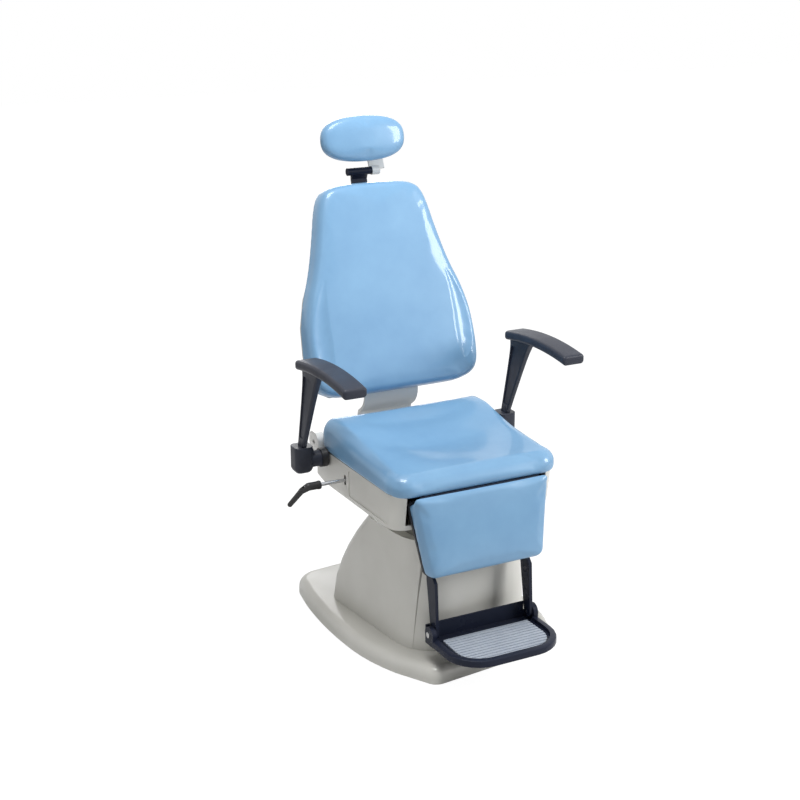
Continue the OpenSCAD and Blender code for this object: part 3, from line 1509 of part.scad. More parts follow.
module clamp_handle() color("black") difference() {
    union() {
        rod_x(lever_end_x + lever_hub_r, lever_hub_x, clamp_y, clamp_z, lever_hub_r);
        rod_x(lever_hub_x - overrun * 8, lever_hub_x - overrun * 2, clamp_y, clamp_z, lever_hub_r + overrun);
        hull() {
            translate([lever_end_x + lever_hub_r, clamp_y, clamp_z]) sphere(r = lever_hub_r, $fn = 24);
            translate([lever_end_x - lever_out / 5, clamp_y + lever_back / 5, clamp_z - lever_drop / 5])
                sphere(r = lever_hub_r * 4 / 5, $fn = 24);
        }
        hull() {
            translate([lever_end_x - lever_out / 5, clamp_y + lever_back / 5, clamp_z - lever_drop / 5])
                sphere(r = lever_hub_r * 3 / 4, $fn = 24);
            translate([lever_end_x - lever_out, clamp_y + lever_back, clamp_z - lever_drop])
                sphere(r = lever_tip_r, $fn = 24);
        }
    }
    rod_x(
        lever_hub_x - lever_hub_len / 2 - seat_gap, lever_hub_x + overrun, clamp_y, clamp_z, clamp_r + pin_clearance
    );
    rod_x(lever_end_x - lever_len, lever_end_x, clamp_y, clamp_z, screw_r + seat_gap);
}

module clamp_screw() color("silver") rod_x(lever_end_x - screw_t, lever_end_x, clamp_y, clamp_z, screw_r);

base_frame();
base_cover();
column_front_cover();
column_left_cover();
column_right_cover();
column_rear_cover();
mast_outer();
mast_guide();
lift_actuator();
lift_motor();
power_inlet();
mast_inner();
lift_rod();
lift_plate();
bearing_lower();
inner_column_cover();
bearing_upper();
swivel_spindle();
seat_frame();
seat_shell();
seat_board();
seat_cushion();
backrest_lugs();
backrest_pins();
arm_pins();
arm_discs();
clamp_block();
legrest_fixed_leaf();
backrest_bracket();
backrest_shell();
backrest_board();
backrest_cushion();
headrest_receiver();
headrest_bar();
headrest_link();
headrest_pins();
headrest_bracket();
headrest_cushion();
legrest_moving_leaf();
legrest_board();
legrest_lugs();
legrest_cushion();
leg_left();
leg_right();
leg_bolts();
footplate_frame();
footplate_mat();
footplate_bolts();
link_rod();
clamp_shaft();
clamp_handle();
clamp_screw();
arm_socket_left();
arm_socket_right();
arm_post_left();
arm_post_right();
arm_pad_left();
arm_pad_right();
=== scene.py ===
# Ear nose and throat chair in a pale studio. The sections follow the chair as it is put together: floor
# frame, covers, seat, backrest, headrest, legrest, footplate, clamp lever and arms.
import math

import bpy
import numpy as np
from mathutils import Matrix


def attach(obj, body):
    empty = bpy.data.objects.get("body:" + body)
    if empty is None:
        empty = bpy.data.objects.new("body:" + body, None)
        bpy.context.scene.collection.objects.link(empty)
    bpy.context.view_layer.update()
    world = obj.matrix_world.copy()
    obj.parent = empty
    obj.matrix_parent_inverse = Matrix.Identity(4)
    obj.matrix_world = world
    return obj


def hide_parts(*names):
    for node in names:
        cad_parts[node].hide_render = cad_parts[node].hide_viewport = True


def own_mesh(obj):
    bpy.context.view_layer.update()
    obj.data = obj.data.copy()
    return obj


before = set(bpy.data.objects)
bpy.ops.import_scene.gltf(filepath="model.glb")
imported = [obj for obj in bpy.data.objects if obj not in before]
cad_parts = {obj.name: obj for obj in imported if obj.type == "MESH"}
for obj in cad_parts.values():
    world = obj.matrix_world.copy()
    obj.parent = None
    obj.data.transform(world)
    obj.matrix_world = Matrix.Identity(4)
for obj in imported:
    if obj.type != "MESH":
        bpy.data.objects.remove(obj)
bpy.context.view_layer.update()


# Studio

# A pale floor and backdrop with soft boxes: the strongest in front on the right, a large one overhead,
# a weak one on the left and one behind that draws the edges. The camera stands as in the photograph.
camera_data = bpy.data.cameras.new("studio_camera")
camera_data.sensor_width = 36
camera_data.lens = 64.94
camera_data.clip_start = 0.1
camera_data.clip_end = 60
camera = bpy.data.objects.new("studio_camera", camera_data)
camera.location = (-1.8092, -3.3300, 1.8943)
camera.rotation_euler = (math.radians(72.13), math.radians(0.11), math.radians(-27.27))
bpy.context.scene.collection.objects.link(camera)
bpy.context.scene.camera = camera
bpy.context.scene.view_settings.view_transform = "Standard"


def soft_box(name, place, target, width, height, power):
    """A rectangular soft box at place that shines at target."""
    lamp_data = bpy.data.lights.new(name, "AREA")
    lamp_data.shape = "RECTANGLE"
    lamp_data.size = width
    lamp_data.size_y = height
    lamp_data.energy = power
    lamp = bpy.data.objects.new(name, lamp_data)
    lamp.location = place
    aim = np.array(target) - np.array(place)
    lamp.rotation_euler = (
        math.acos(-aim[2] / np.linalg.norm(aim)), 0, math.atan2(-aim[0], aim[1])
    )
    bpy.context.scene.collection.objects.link(lamp)


soft_box("front_box", (3.0, -2.3, 2.1), (0, 0, 0.5), width=1.4, height=1.4, power=104)
soft_box("overhead_box", (-0.45, -0.5, 3.3), (0, 0, 0.4), width=1.3, height=1.2, power=70)
soft_box("left_box", (-3.1, 0.3, 1.2), (0, 0, 0.7), width=0.12, height=2.2, power=4)
soft_box("rear_box", (1.0, 3.0, 1.5), (0, 0, 0.7), width=1.0, height=1.2, power=14)


def maths(tree, operation):
    """A new maths node that does one operation."""
    node = tree.nodes.new("ShaderNodeMath")
    node.operation = operation
    return node


# The world is white where it is seen or mirrored, and dimmer for the light that it throws on the chair.
WORLD_SEEN, WORLD_LIGHT = 1.0, 0.24
studio_world = bpy.data.worlds.new("studio_world")
bpy.context.scene.world = studio_world
studio_world.use_nodes = True
world_nodes, world_links = studio_world.node_tree.nodes, studio_world.node_tree.links
world_rays = world_nodes.new("ShaderNodeLightPath")
seen_directly = maths(studio_world.node_tree, "MAXIMUM")
seen_at_all = maths(studio_world.node_tree, "MAXIMUM")
world_strength = world_nodes.new("ShaderNodeMapRange")
world_strength.inputs["To Min"].default_value = WORLD_LIGHT
world_strength.inputs["To Max"].default_value = WORLD_SEEN
world_nodes["Background"].inputs["Color"].default_value = (1, 1, 1, 1)
world_links.new(world_rays.outputs["Is Camera Ray"], seen_directly.inputs[0])
world_links.new(world_rays.outputs["Is Transmission Ray"], seen_directly.inputs[1])
world_links.new(seen_directly.outputs[0], seen_at_all.inputs[0])
world_links.new(world_rays.outputs["Is Glossy Ray"], seen_at_all.inputs[1])
world_links.new(seen_at_all.outputs[0], world_strength.inputs["Value"])
world_links.new(world_strength.outputs[0], world_nodes["Background"].inputs["Strength"])

# The floor lies just under the base. The camera sees most of it as a plain glow, so the background is white
# and the shadow stays.
FLOOR_HALF = 14
FLOOR_LEVEL = -0.0015
FLOOR_GLOW_SHARE, FLOOR_GLOW = 0.8, 1.2
floor_mesh = bpy.data.meshes.new("studio_floor")
floor_mesh.from_pydata(
    [(x * FLOOR_HALF, y * FLOOR_HALF, FLOOR_LEVEL) for x, y in ((-1, -1), (1, -1), (1, 1), (-1, 1))],
    [], [(0, 1, 2, 3)]
)
studio_floor = bpy.data.objects.new("studio_floor", floor_mesh)
bpy.context.scene.collection.objects.link(studio_floor)

floor_paint = bpy.data.materials.new("floor_paint")
floor_paint.use_nodes = True
floor_nodes, floor_links = floor_paint.node_tree.nodes, floor_paint.node_tree.links
floor_rays = floor_nodes.new("ShaderNodeLightPath")
floor_share = maths(floor_paint.node_tree, "MULTIPLY")
floor_share.inputs[1].default_value = FLOOR_GLOW_SHARE
floor_glow = floor_nodes.new("ShaderNodeEmission")
floor_glow.inputs["Strength"].default_value = FLOOR_GLOW
floor_mix = floor_nodes.new("ShaderNodeMixShader")
floor_body = floor_nodes["Principled BSDF"]
floor_body.inputs["Base Color"].default_value = (0.86, 0.86, 0.86, 1)
floor_body.inputs["Roughness"].default_value = 0.8
floor_links.new(floor_rays.outputs["Is Camera Ray"], floor_share.inputs[0])
floor_links.new(floor_share.outputs[0], floor_mix.inputs["Fac"])
floor_links.new(floor_body.outputs[0], floor_mix.inputs[1])
floor_links.new(floor_glow.outputs[0], floor_mix.inputs[2])
floor_links.new(floor_mix.outputs[0], floor_nodes["Material Output"].inputs["Surface"])
floor_mesh.materials.append(floor_paint)


# Floor frame, mast and lift

# Welded steel in grey paint, with bare machined bearing rings, a bright drive rod and the mains inlet.
# Most of it is hidden by the covers and shows only through the gaps and when the seat is raised.
DUST_GREY = "D8D6CE"


def paint_colour(code):
    """Linear colour of a six-digit colour code."""
    parts = [int(code[i:i + 2], 16) / 255 for i in (0, 2, 4)]
    return [c / 12.92 if c <= 0.04045 else ((c + 0.055) / 1.055) ** 2.4 for c in parts] + [1.0]


def effect_group(name, inputs, outputs):
    """An empty shader group with float inputs {name: value} and float outputs."""
    group = bpy.data.node_groups.new(name, "ShaderNodeTree")
    for label, value in inputs.items():
        group.interface.new_socket(label, in_out="INPUT", socket_type="NodeSocketFloat").default_value = value
    for label in outputs:
        group.interface.new_socket(label, in_out="OUTPUT", socket_type="NodeSocketFloat")
    return group, group.nodes.new("NodeGroupInput"), group.nodes.new("NodeGroupOutput")


def cloud_effect():
    """Slow changes of tone, as in a moulding or a coat of paint."""
    group, given, result = effect_group("tone_clouds", {"Size": 0.12, "Contrast": 0.5}, ["Mask"])
    place = group.nodes.new("ShaderNodeTexCoord")
    invert = maths(group, "DIVIDE")
    invert.inputs[0].default_value = 1
    cloud = group.nodes.new("ShaderNodeTexNoise")
    cloud.inputs["Detail"].default_value = 4
    cloud.inputs["Roughness"].default_value = 0.6
    centre = maths(group, "SUBTRACT")
    centre.inputs[1].default_value = 0.5
    spread = maths(group, "MULTIPLY_ADD")
    spread.inputs[2].default_value = 0.5
    spread.use_clamp = True
    group.links.new(given.outputs["Size"], invert.inputs[1])
    group.links.new(place.outputs["Object"], cloud.inputs["Vector"])
    group.links.new(invert.outputs[0], cloud.inputs["Scale"])
    group.links.new(cloud.outputs["Fac"], centre.inputs[0])
    group.links.new(centre.outputs[0], spread.inputs[0])
    group.links.new(given.outputs["Contrast"], spread.inputs[1])
    group.links.new(spread.outputs[0], result.inputs["Mask"])
    return group


def wear_effect():
    """Edges that hands and cloths have rubbed."""
    group, given, result = effect_group("edge_wear", {"Radius": 0.002, "Amount": 1.0}, ["Mask"])
    rounded = group.nodes.new("ShaderNodeBevel")
    rounded.samples = 4
    surface = group.nodes.new("ShaderNodeNewGeometry")
    turn = group.nodes.new("ShaderNodeVectorMath")
    turn.operation = "DOT_PRODUCT"
    edge = group.nodes.new("ShaderNodeMapRange")
    edge.inputs["From Min"].default_value = 0.995
    edge.inputs["From Max"].default_value = 0.90
    patches = group.nodes.new("ShaderNodeTexNoise")
    patches.inputs["Scale"].default_value = 90
    patches.inputs["Detail"].default_value = 3
    place = group.nodes.new("ShaderNodeTexCoord")
    rubbed = maths(group, "MULTIPLY")
    scaled = maths(group, "MULTIPLY")
    scaled.use_clamp = True
    group.links.new(given.outputs["Radius"], rounded.inputs["Radius"])
    group.links.new(rounded.outputs["Normal"], turn.inputs[0])
    group.links.new(surface.outputs["Normal"], turn.inputs[1])
    group.links.new(turn.outputs["Value"], edge.inputs["Value"])
    group.links.new(place.outputs["Object"], patches.inputs["Vector"])
    group.links.new(edge.outputs[0], rubbed.inputs[0])
    group.links.new(patches.outputs["Fac"], rubbed.inputs[1])
    group.links.new(rubbed.outputs[0], scaled.inputs[0])
    group.links.new(given.outputs["Amount"], scaled.inputs[1])
    group.links.new(scaled.outputs[0], result.inputs["Mask"])
    return group


def dust_effect():
    """Fine dust that settles on surfaces that face up, thicker near the floor."""
    group, given, result = effect_group("settled_dust", {"Amount": 0.2}, ["Mask"])
    surface = group.nodes.new("ShaderNodeNewGeometry")
    split_normal = group.nodes.new("ShaderNodeSeparateXYZ")
    split_place = group.nodes.new("ShaderNodeSeparateXYZ")
    facing = group.nodes.new("ShaderNodeMapRange")
    facing.inputs["From Min"].default_value = 0.6
    near_floor = group.nodes.new("ShaderNodeMapRange")
    near_floor.inputs["From Min"].default_value = 0.5
    near_floor.inputs["From Max"].default_value = 0.0
    near_floor.inputs["To Min"].default_value = 0.25
    specks = group.nodes.new("ShaderNodeTexNoise")
    specks.inputs["Scale"].default_value = 60
    specks.inputs["Detail"].default_value = 5
    first = maths(group, "MULTIPLY")
    second = maths(group, "MULTIPLY")
    third = maths(group, "MULTIPLY")
    third.use_clamp = True
    group.links.new(surface.outputs["Normal"], split_normal.inputs[0])
    group.links.new(surface.outputs["Position"], split_place.inputs[0])
    group.links.new(surface.outputs["Position"], specks.inputs["Vector"])
    group.links.new(split_normal.outputs["Z"], facing.inputs["Value"])
    group.links.new(split_place.outputs["Z"], near_floor.inputs["Value"])
    group.links.new(facing.outputs[0], first.inputs[0])
    group.links.new(near_floor.outputs[0], first.inputs[1])
    group.links.new(first.outputs[0], second.inputs[0])
    group.links.new(specks.outputs["Fac"], second.inputs[1])
    group.links.new(second.outputs[0], third.inputs[0])
    group.links.new(given.outputs["Amount"], third.inputs[1])
    group.links.new(third.outputs[0], result.inputs["Mask"])
    return group


def grain_effect():
    """Height of a fine moulded or painted grain: pebbles with a softer noise over them."""
    group, given, result = effect_group("fine_grain", {"Size": 0.001, "Pebble": 0.5}, ["Height"])
    place = group.nodes.new("ShaderNodeTexCoord")
    invert = maths(group, "DIVIDE")
    invert.inputs[0].default_value = 1
    pebbles = group.nodes.new("ShaderNodeTexVoronoi")
    pebbles.feature = "SMOOTH_F1"
    fine = group.nodes.new("ShaderNodeTexNoise")
    fine.inputs["Detail"].default_value = 3
    blend = group.nodes.new("ShaderNodeMix")
    group.links.new(given.outputs["Size"], invert.inputs[1])
    for texture in (pebbles, fine):
        group.links.new(place.outputs["Object"], texture.inputs["Vector"])
        group.links.new(invert.outputs[0], texture.inputs["Scale"])
    group.links.new(given.outputs["Pebble"], blend.inputs["Factor"])
    group.links.new(fine.outputs["Fac"], blend.inputs["A"])
    group.links.new(pebbles.outputs["Distance"], blend.inputs["B"])
    group.links.new(blend.outputs["Result"], result.inputs["Height"])
    return group


TONE_CLOUDS = cloud_effect()
EDGE_WEAR = wear_effect()
SETTLED_DUST = dust_effect()
FINE_GRAIN = grain_effect()


def surface_finish(
    name, colour, shade, worn, roughness, metal=0.0, coat=0.0, coat_roughness=0.1, grain=0.001, pebble=0.4,
    depth=0.00004, clouds=0.15, wear=0.6, wear_radius=0.0016, dust=0.25, rough_spread=0.08, gloss=0.5
):
    """A painted, moulded or metal surface with clouds of tone, worn edges, dust and a fine grain."""
    material = bpy.data.materials.new(name)
    material.use_nodes = True
    nodes, links = material.node_tree.nodes, material.node_tree.links
    shader = nodes["Principled BSDF"]

    def effect(group, **values):
        node = nodes.new("ShaderNodeGroup")
        node.node_tree = group
        for label, value in values.items():
            node.inputs[label].default_value = value
        return node

    tone = effect(TONE_CLOUDS, Size=clouds, Contrast=2.2)
    rubbed = effect(EDGE_WEAR, Radius=wear_radius, Amount=wear)
    dusty = effect(SETTLED_DUST, Amount=dust)
    pores = effect(FINE_GRAIN, Size=grain, Pebble=pebble)
    last = None
    for mask, code in ((tone, shade), (rubbed, worn), (dusty, DUST_GREY)):
        mix = nodes.new("ShaderNodeMix")
        mix.data_type = "RGBA"
        mix.inputs["B"].default_value = paint_colour(code)
        mix.inputs["A"].default_value = paint_colour(colour)
        links.new(mask.outputs["Mask"], mix.inputs["Factor"])
        if last:
            links.new(last.outputs["Result"], mix.inputs["A"])
        last = mix
    links.new(last.outputs["Result"], shader.inputs["Base Color"])
    level = nodes.new("ShaderNodeMapRange")
    level.inputs["To Min"].default_value = roughness - rough_spread
    level.inputs["To Max"].default_value = roughness + rough_spread
    links.new(tone.outputs["Mask"], level.inputs["Value"])
    dull = maths(material.node_tree, "MULTIPLY_ADD")
    dull.inputs[1].default_value = 0.5
    dull.use_clamp = True
    links.new(dusty.outputs["Mask"], dull.inputs[0])
    links.new(level.outputs[0], dull.inputs[2])
    links.new(dull.outputs[0], shader.inputs["Roughness"])
    bump = nodes.new("ShaderNodeBump")
    bump.inputs["Strength"].default_value = 1.0
    bump.inputs["Distance"].default_value = depth
    links.new(pores.outputs["Height"], bump.inputs["Height"])
    links.new(bump.outputs["Normal"], shader.inputs["Normal"])
    shader.inputs["Metallic"].default_value = metal
    shader.inputs["Specular IOR Level"].default_value = gloss
    shader.inputs["Coat Weight"].default_value = coat
    shader.inputs["Coat Roughness"].default_value = coat_roughness
    return material


def rounded_shading():
    """Geometry step for a CAD node: joins its triangles and shades them smooth up to 32 degrees."""
    group = bpy.data.node_groups.new("smooth_to_edges", "GeometryNodeTree")
    group.interface.new_socket("Geometry", in_out="INPUT", socket_type="NodeSocketGeometry")
    group.interface.new_socket("Geometry", in_out="OUTPUT", socket_type="NodeSocketGeometry")
    given, result = group.nodes.new("NodeGroupInput"), group.nodes.new("NodeGroupOutput")
    joined = group.nodes.new("GeometryNodeMergeByDistance")
    joined.inputs["Distance"].default_value = 0.00001
    smooth = group.nodes.new("GeometryNodeSetShadeSmooth")
    crisp = group.nodes.new("GeometryNodeSetShadeSmooth")
    crisp.domain = "EDGE"
    crisp.inputs["Shade Smooth"].default_value = False
    angle = group.nodes.new("GeometryNodeInputMeshEdgeAngle")
    sharp = group.nodes.new("FunctionNodeCompare")
    sharp.operation = "GREATER_THAN"
    sharp.inputs[1].default_value = math.radians(32)
    group.links.new(given.outputs[0], joined.inputs["Geometry"])
    group.links.new(joined.outputs[0], smooth.inputs["Geometry"])
    group.links.new(smooth.outputs[0], crisp.inputs["Geometry"])
    group.links.new(angle.outputs["Unsigned Angle"], sharp.inputs[0])
    group.links.new(sharp.outputs[0], crisp.inputs["Selection"])
    group.links.new(crisp.outputs[0], result.inputs[0])
    return group


SMOOTH_TO_EDGES = rounded_shading()


def dress(material, *nodes):
    """Gives CAD nodes their finish and smooth shading."""
    for node in nodes:
        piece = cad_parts[node]
        piece.data.materials.clear()
        piece.data.materials.append(material)
        piece.modifiers.new("smooth_to_edges", "NODES").node_group = SMOOTH_TO_EDGES


frame_paint = surface_finish(
    "frame_paint", "808286", "76787C", "A6A6A6", 0.42, grain=0.0012, pebble=0.2, depth=0.00005, wear=0.8
)
bare_steel = surface_finish(
    "bare_steel", "B4B5B8", "A6A7AB", "D0D0D2", 0.34, metal=1.0, grain=0.0006, pebble=0.0, depth=0.00002,
    clouds=0.05, wear=0.5, dust=0.1
)
bright_steel = surface_finish(
    "bright_steel", "CFD0D3", "C2C3C6", "E4E4E6", 0.16, metal=1.0, grain=0.002, pebble=0.0, depth=0.00001,
    clouds=0.08, wear=0.2, dust=0.08, rough_spread=0.05
)
drive_paint = surface_finish(
    "drive_paint", "4A4D55", "42454D", "6E7078", 0.4, grain=0.001, depth=0.00004, wear=0.8
)
black_plastic = surface_finish(
    "black_plastic", "1B1B1D", "141416", "3A3A3D", 0.38, grain=0.0007, pebble=0.7, depth=0.00004, clouds=0.05,
    wear=0.9, dust=0.06
)
guide_plastic = surface_finish(
    "guide_plastic", "E6E1D2", "DCD6C4", "F2EEE4", 0.5, grain=0.002, depth=0.00003, wear=0.2
)
dress(frame_paint, "base_frame", "mast_outer", "lift_plate", "lift_motor", "seat_frame")
dress(bare_steel, "mast_inner", "bearing_lower", "bearing_upper", "swivel_spindle")
dress(bright_steel, "lift_rod")
dress(drive_paint, "lift_actuator")
dress(guide_plastic, "mast_guide")
dress(black_plastic, "power_inlet")


# Covers of the base and the column

# Moulded plastic shells in a warm light grey: one low tray over the floor frame and four upright panels,
# with an inner sleeve that slides up with the seat; its darker grey is painted shade for the gap under the
# seat shell. They clip and screw to the frame.
COVER_GREY = "D5D4CE"
COVER_SHADE = "C9C8C1"
# The inner sleeve's darker grey is painted shade for the gap under the seat shell.
INNER_PAINTED_SHADE_GREY = "8D8D87"
cover_plastic = surface_finish(
    "cover_plastic", COVER_GREY, COVER_SHADE, "E2E2DC", 0.34, coat=0.35, coat_roughness=0.16, grain=0.0025,
    pebble=0.1, depth=0.00005, clouds=0.3, wear=0.35, dust=0.35
)
inner_plastic = surface_finish(
    "inner_plastic", INNER_PAINTED_SHADE_GREY, "7E7E78", "A2A29C", 0.45, grain=0.0018, pebble=0.3, depth=0.00006, dust=0.3
)
dress(
    cover_plastic, "base_cover", "column_front_cover", "column_left_cover", "column_right_cover",
    "column_rear_cover"
)
# The inner sleeve takes the darker grey as painted shade for the gap under the seat shell.
dress(inner_plastic, "inner_column_cover")


# Seat shell, hinge lugs and pins

# The seat tray is moulded in the same grey as the base and hangs on the frame. The hinge lugs are white
# painted plates, the pins and the clamp block are bare steel, and the friction discs are black plastic.
# The boards under the foam of the seat and the backrest are plywood.
white_paint = surface_finish(
    "white_paint", "ECECEA", "E4E4E1", "F6F6F4", 0.3, coat=0.3, coat_roughness=0.15, grain=0.003, pebble=0.1,
    depth=0.00004, wear=0.4, dust=0.12
)


def board_finish(name, light, dark, roughness):
    """Wood: bands along the board with fine fibres."""
    material = bpy.data.materials.new(name)
    material.use_nodes = True
    nodes, links = material.node_tree.nodes, material.node_tree.links
    place = nodes.new("ShaderNodeTexCoord")
    stretch = nodes.new("ShaderNodeMapping")
    stretch.inputs["Scale"].default_value = (14, 1.5, 14)
    fibres = nodes.new("ShaderNodeTexNoise")
    fibres.inputs["Scale"].default_value = 9
    fibres.inputs["Detail"].default_value = 8
    bands = nodes.new("ShaderNodeTexWave")
    bands.inputs["Scale"].default_value = 3
    bands.inputs["Distortion"].default_value = 6
    mix = nodes.new("ShaderNodeMix")
    mix.data_type = "RGBA"
    mix.inputs["A"].default_value = paint_colour(light)
    mix.inputs["B"].default_value = paint_colour(dark)
    both = maths(material.node_tree, "MULTIPLY")
    bump = nodes.new("ShaderNodeBump")
    bump.inputs["Distance"].default_value = 0.0002
    links.new(place.outputs["Object"], stretch.inputs["Vector"])
    links.new(stretch.outputs["Vector"], fibres.inputs["Vector"])
    links.new(stretch.outputs["Vector"], bands.inputs["Vector"])
    links.new(fibres.outputs["Fac"], both.inputs[0])
    links.new(bands.outputs["Fac"], both.inputs[1])
    links.new(both.outputs[0], mix.inputs["Factor"])
    links.new(mix.outputs["Result"], nodes["Principled BSDF"].inputs["Base Color"])
    links.new(fibres.outputs["Fac"], bump.inputs["Height"])
    links.new(bump.outputs["Normal"], nodes["Principled BSDF"].inputs["Normal"])
    nodes["Principled BSDF"].inputs["Roughness"].default_value = roughness
    return material


plywood = board_finish("plywood", "C9A678", "A37F52", 0.65)
dress(cover_plastic, "seat_shell")
dress(white_paint, "backrest_lugs")
dress(bare_steel, "backrest_pins", "arm_pins", "clamp_block")
dress(black_plastic, "arm_discs")
dress(plywood, "seat_board", "backrest_board")


# Seat cushion

# Moulded foam under glossy light blue vinyl: bolsters along the sides and the rear, a dished middle and a
# rolled front edge. It is stapled to the plywood board, so its underside stays flat.
VINYL_BLUE = "78A3C6"
VINYL_SHADE = "6D98BD"
blue_vinyl = surface_finish(
    "blue_vinyl", VINYL_BLUE, VINYL_SHADE, "9CC0E0", 0.42, coat=0.5, coat_roughness=0.1, grain=0.0011,
    pebble=0.8, depth=0.00003, clouds=0.16, wear=0.12, wear_radius=0.004, dust=0.02, rough_spread=0.05,
    gloss=0.35
)
MM = 0.001


def curve_between(a, b, c, d, t):
    """Point at share t of the smooth curve from b to c, whose neighbours are a and d."""
    bend, twist = 2 * a - 5 * b + 4 * c - d, 3 * b - a - 3 * c + d
    return 0.5 * (2 * b + (c - a) * t + bend * t ** 2 + twist * t ** 3)


def even_steps(loop, count):
    """A closed outline with count points at even steps."""
    closed = np.concatenate([loop, loop[:1]])
    along = np.concatenate([[0], np.cumsum(np.linalg.norm(np.diff(closed, axis=0), axis=1))])
    at = np.linspace(0, along[-1], count, endpoint=False)
    return np.stack([np.interp(at, along, closed[:, k]) for k in range(2)], 1)


def rounded_loop(corners, count):
    """A closed outline through corners (x, y, radius), anticlockwise, each rounded by its radius."""
    points = []
    for i, (x, y, r) in enumerate(corners):
        here = np.array([x, y], float)
        before = np.array(corners[i - 1][:2], float) - here
        after = np.array(corners[(i + 1) % len(corners)][:2], float) - here
        before, after = before / np.linalg.norm(before), after / np.linalg.norm(after)
        half = math.acos(float(np.clip(before @ after, -1, 1))) / 2
        middle = (before + after) / np.linalg.norm(before + after)
        centre = here + middle * r / math.sin(half)
        start = here + before * r / math.tan(half) - centre
        end = here + after * r / math.tan(half) - centre
        first = math.atan2(start[1], start[0])
        sweep = (math.atan2(end[1], end[0]) - first + math.pi) % (2 * math.pi) - math.pi
        for k in range(17):
            angle = first + sweep * k / 16
            points.append(centre + r * np.array([math.cos(angle), math.sin(angle)]))
    return even_steps(np.array(points), count)


def inward(loop, distance):
    """The outline moved inward by a distance."""
    step = np.roll(loop, -1, 0) - np.roll(loop, 1, 0)
    step = step / np.linalg.norm(step, axis=1)[:, None]
    return loop + distance * np.stack([-step[:, 1], step[:, 0]], 1)


def ringed_mesh(name, rings, tip_low=None, tip_high=None):
    """A closed mesh through rings of points; each end closes to a tip or with one flat face."""
    rings = [np.asarray(r, float) for r in rings]
    count = len(rings[0])
    points = [tuple(q) for ring in rings for q in ring]
    faces = [
        (i * count + j, i * count + (j + 1) % count, (i + 1) * count + (j + 1) % count, (i + 1) * count + j)
        for i in range(len(rings) - 1) for j in range(count)
    ]
    top = (len(rings) - 1) * count
    if tip_low is None:
        faces.append(tuple(reversed(range(count))))
    else:
        points.append(tuple(tip_low))
        faces += [((j + 1) % count, j, len(points) - 1) for j in range(count)]
    if tip_high is None:
        faces.append(tuple(top + j for j in range(count)))
    else:
        points.append(tuple(tip_high))
        faces += [(top + j, top + (j + 1) % count, len(points) - 1) for j in range(count)]
    mesh = bpy.data.meshes.new(name)
    mesh.from_pydata([tuple(c * MM for c in p) for p in points], [], faces)
    mesh.update()
    piece = bpy.data.objects.new(name, mesh)
    bpy.context.scene.collection.objects.link(piece)
    return piece


def pad_form(name, loop, centre, roll, profile, top, under):
    """A closed pad: profile gives (inset, rise) shares from rim to face; top and under give heights."""
    centre = np.array(centre, float)

    def level(ring, share):
        low, high = under(ring[:, 0], ring[:, 1]), top(ring[:, 0], ring[:, 1])
        return np.column_stack([ring, low + share * (high - low)])

    rim = inward(loop, profile[0][0] * roll)
    inner = inward(loop, profile[-1][0] * roll)
    rings = [level(centre + f * (rim - centre), 0) for f in np.linspace(0.08, 0.94, 12)]
    rings += [level(inward(loop, s * roll), h) for s, h in profile]
    rings += [level(centre + f * (inner - centre), 1) for f in np.linspace(0.96, 0.06, 18)]
    tips = [level(centre[None, :], share)[0] for share in (0, 1)]
    return ringed_mesh(name, rings, *tips)


def finer(profile, count=26):
    """The same rolled profile with more steps, smoothly curved."""
    p = np.array(profile, float)
    p = np.concatenate([[2 * p[0] - p[1]], p, [2 * p[-1] - p[-2]]])
    steps = max(2, count // (len(p) - 3))
    fine = [
        curve_between(*p[i - 1:i + 3], t)
        for i in range(1, len(p) - 2) for t in np.linspace(0, 1, steps, endpoint=False)
    ]
    fine.append(p[-2])
    return np.clip(np.array(fine), 0, 1)


def stuffed(piece, voxel, swell, held):
    """Blows a cushion up a little, as foam fills its cover: remesh, cloth with inner pressure, subdivision.

    No point moves further than swell, and held says which points are stapled down."""
    remesh = piece.modifiers.new("even_cover", "REMESH")
    remesh.mode = "VOXEL"
    remesh.voxel_size = voxel
    settle(piece)
    rest = vertex_places(piece)
    pins = piece.vertex_groups.new(name="stapled")
    pins.add([int(i) for i in np.nonzero(held(rest))[0]], 1.0, "REPLACE")
    cloth = piece.modifiers.new("cover_cloth", "CLOTH")
    cloth.settings.quality = 4
    cloth.settings.mass = 0.3
    cloth.settings.tension_stiffness = 30
    cloth.settings.compression_stiffness = 30
    cloth.settings.shear_stiffness = 12
    cloth.settings.bending_stiffness = 3
    cloth.settings.use_pressure = True
    cloth.settings.uniform_pressure_force = 4
    cloth.settings.vertex_group_mass = "stapled"
    cloth.settings.effector_weights.gravity = 0
    for step in range(1, 21):
        bpy.context.scene.frame_set(step)
    settle(piece)
    bpy.context.scene.frame_set(1)
    moved = vertex_places(piece) - rest
    reach = np.maximum(np.linalg.norm(moved, axis=1), 1e-9)
    moved *= np.minimum(1, swell / reach)[:, None]
    place_vertices(piece, rest + moved)
    even = piece.modifiers.new("drawn_smooth", "SMOOTH")
    even.factor = 0.5
    even.iterations = 6
    fine = piece.modifiers.new("fine_cover", "SUBSURF")
    fine.levels = fine.render_levels = 1
    settle(piece)
    piece.data.shade_smooth()


def settle(piece):
    """Applies the modifiers of a piece."""
    graph = bpy.context.evaluated_depsgraph_get()
    graph.update()
    made = bpy.data.meshes.new_from_object(piece.evaluated_get(graph))
    piece.modifiers.clear()
    piece.vertex_groups.clear()
    made.name = piece.name
    piece.data = made


def vertex_places(piece):
    """Places of a piece's vertices, one row each."""
    places = np.empty(len(piece.data.vertices) * 3)
    piece.data.vertices.foreach_get("co", places)
    return places.reshape(-1, 3)


def place_vertices(piece, places):
    """Puts a new piece's vertices at places."""
    piece.data.vertices.foreach_set("co", places.ravel())
    piece.data.update()


def ease(t):
    """Smooth rise from 0 to 1 as t goes from 0 to 1."""
    t = np.clip(t, 0, 1)
    return t * t * (3 - 2 * t)


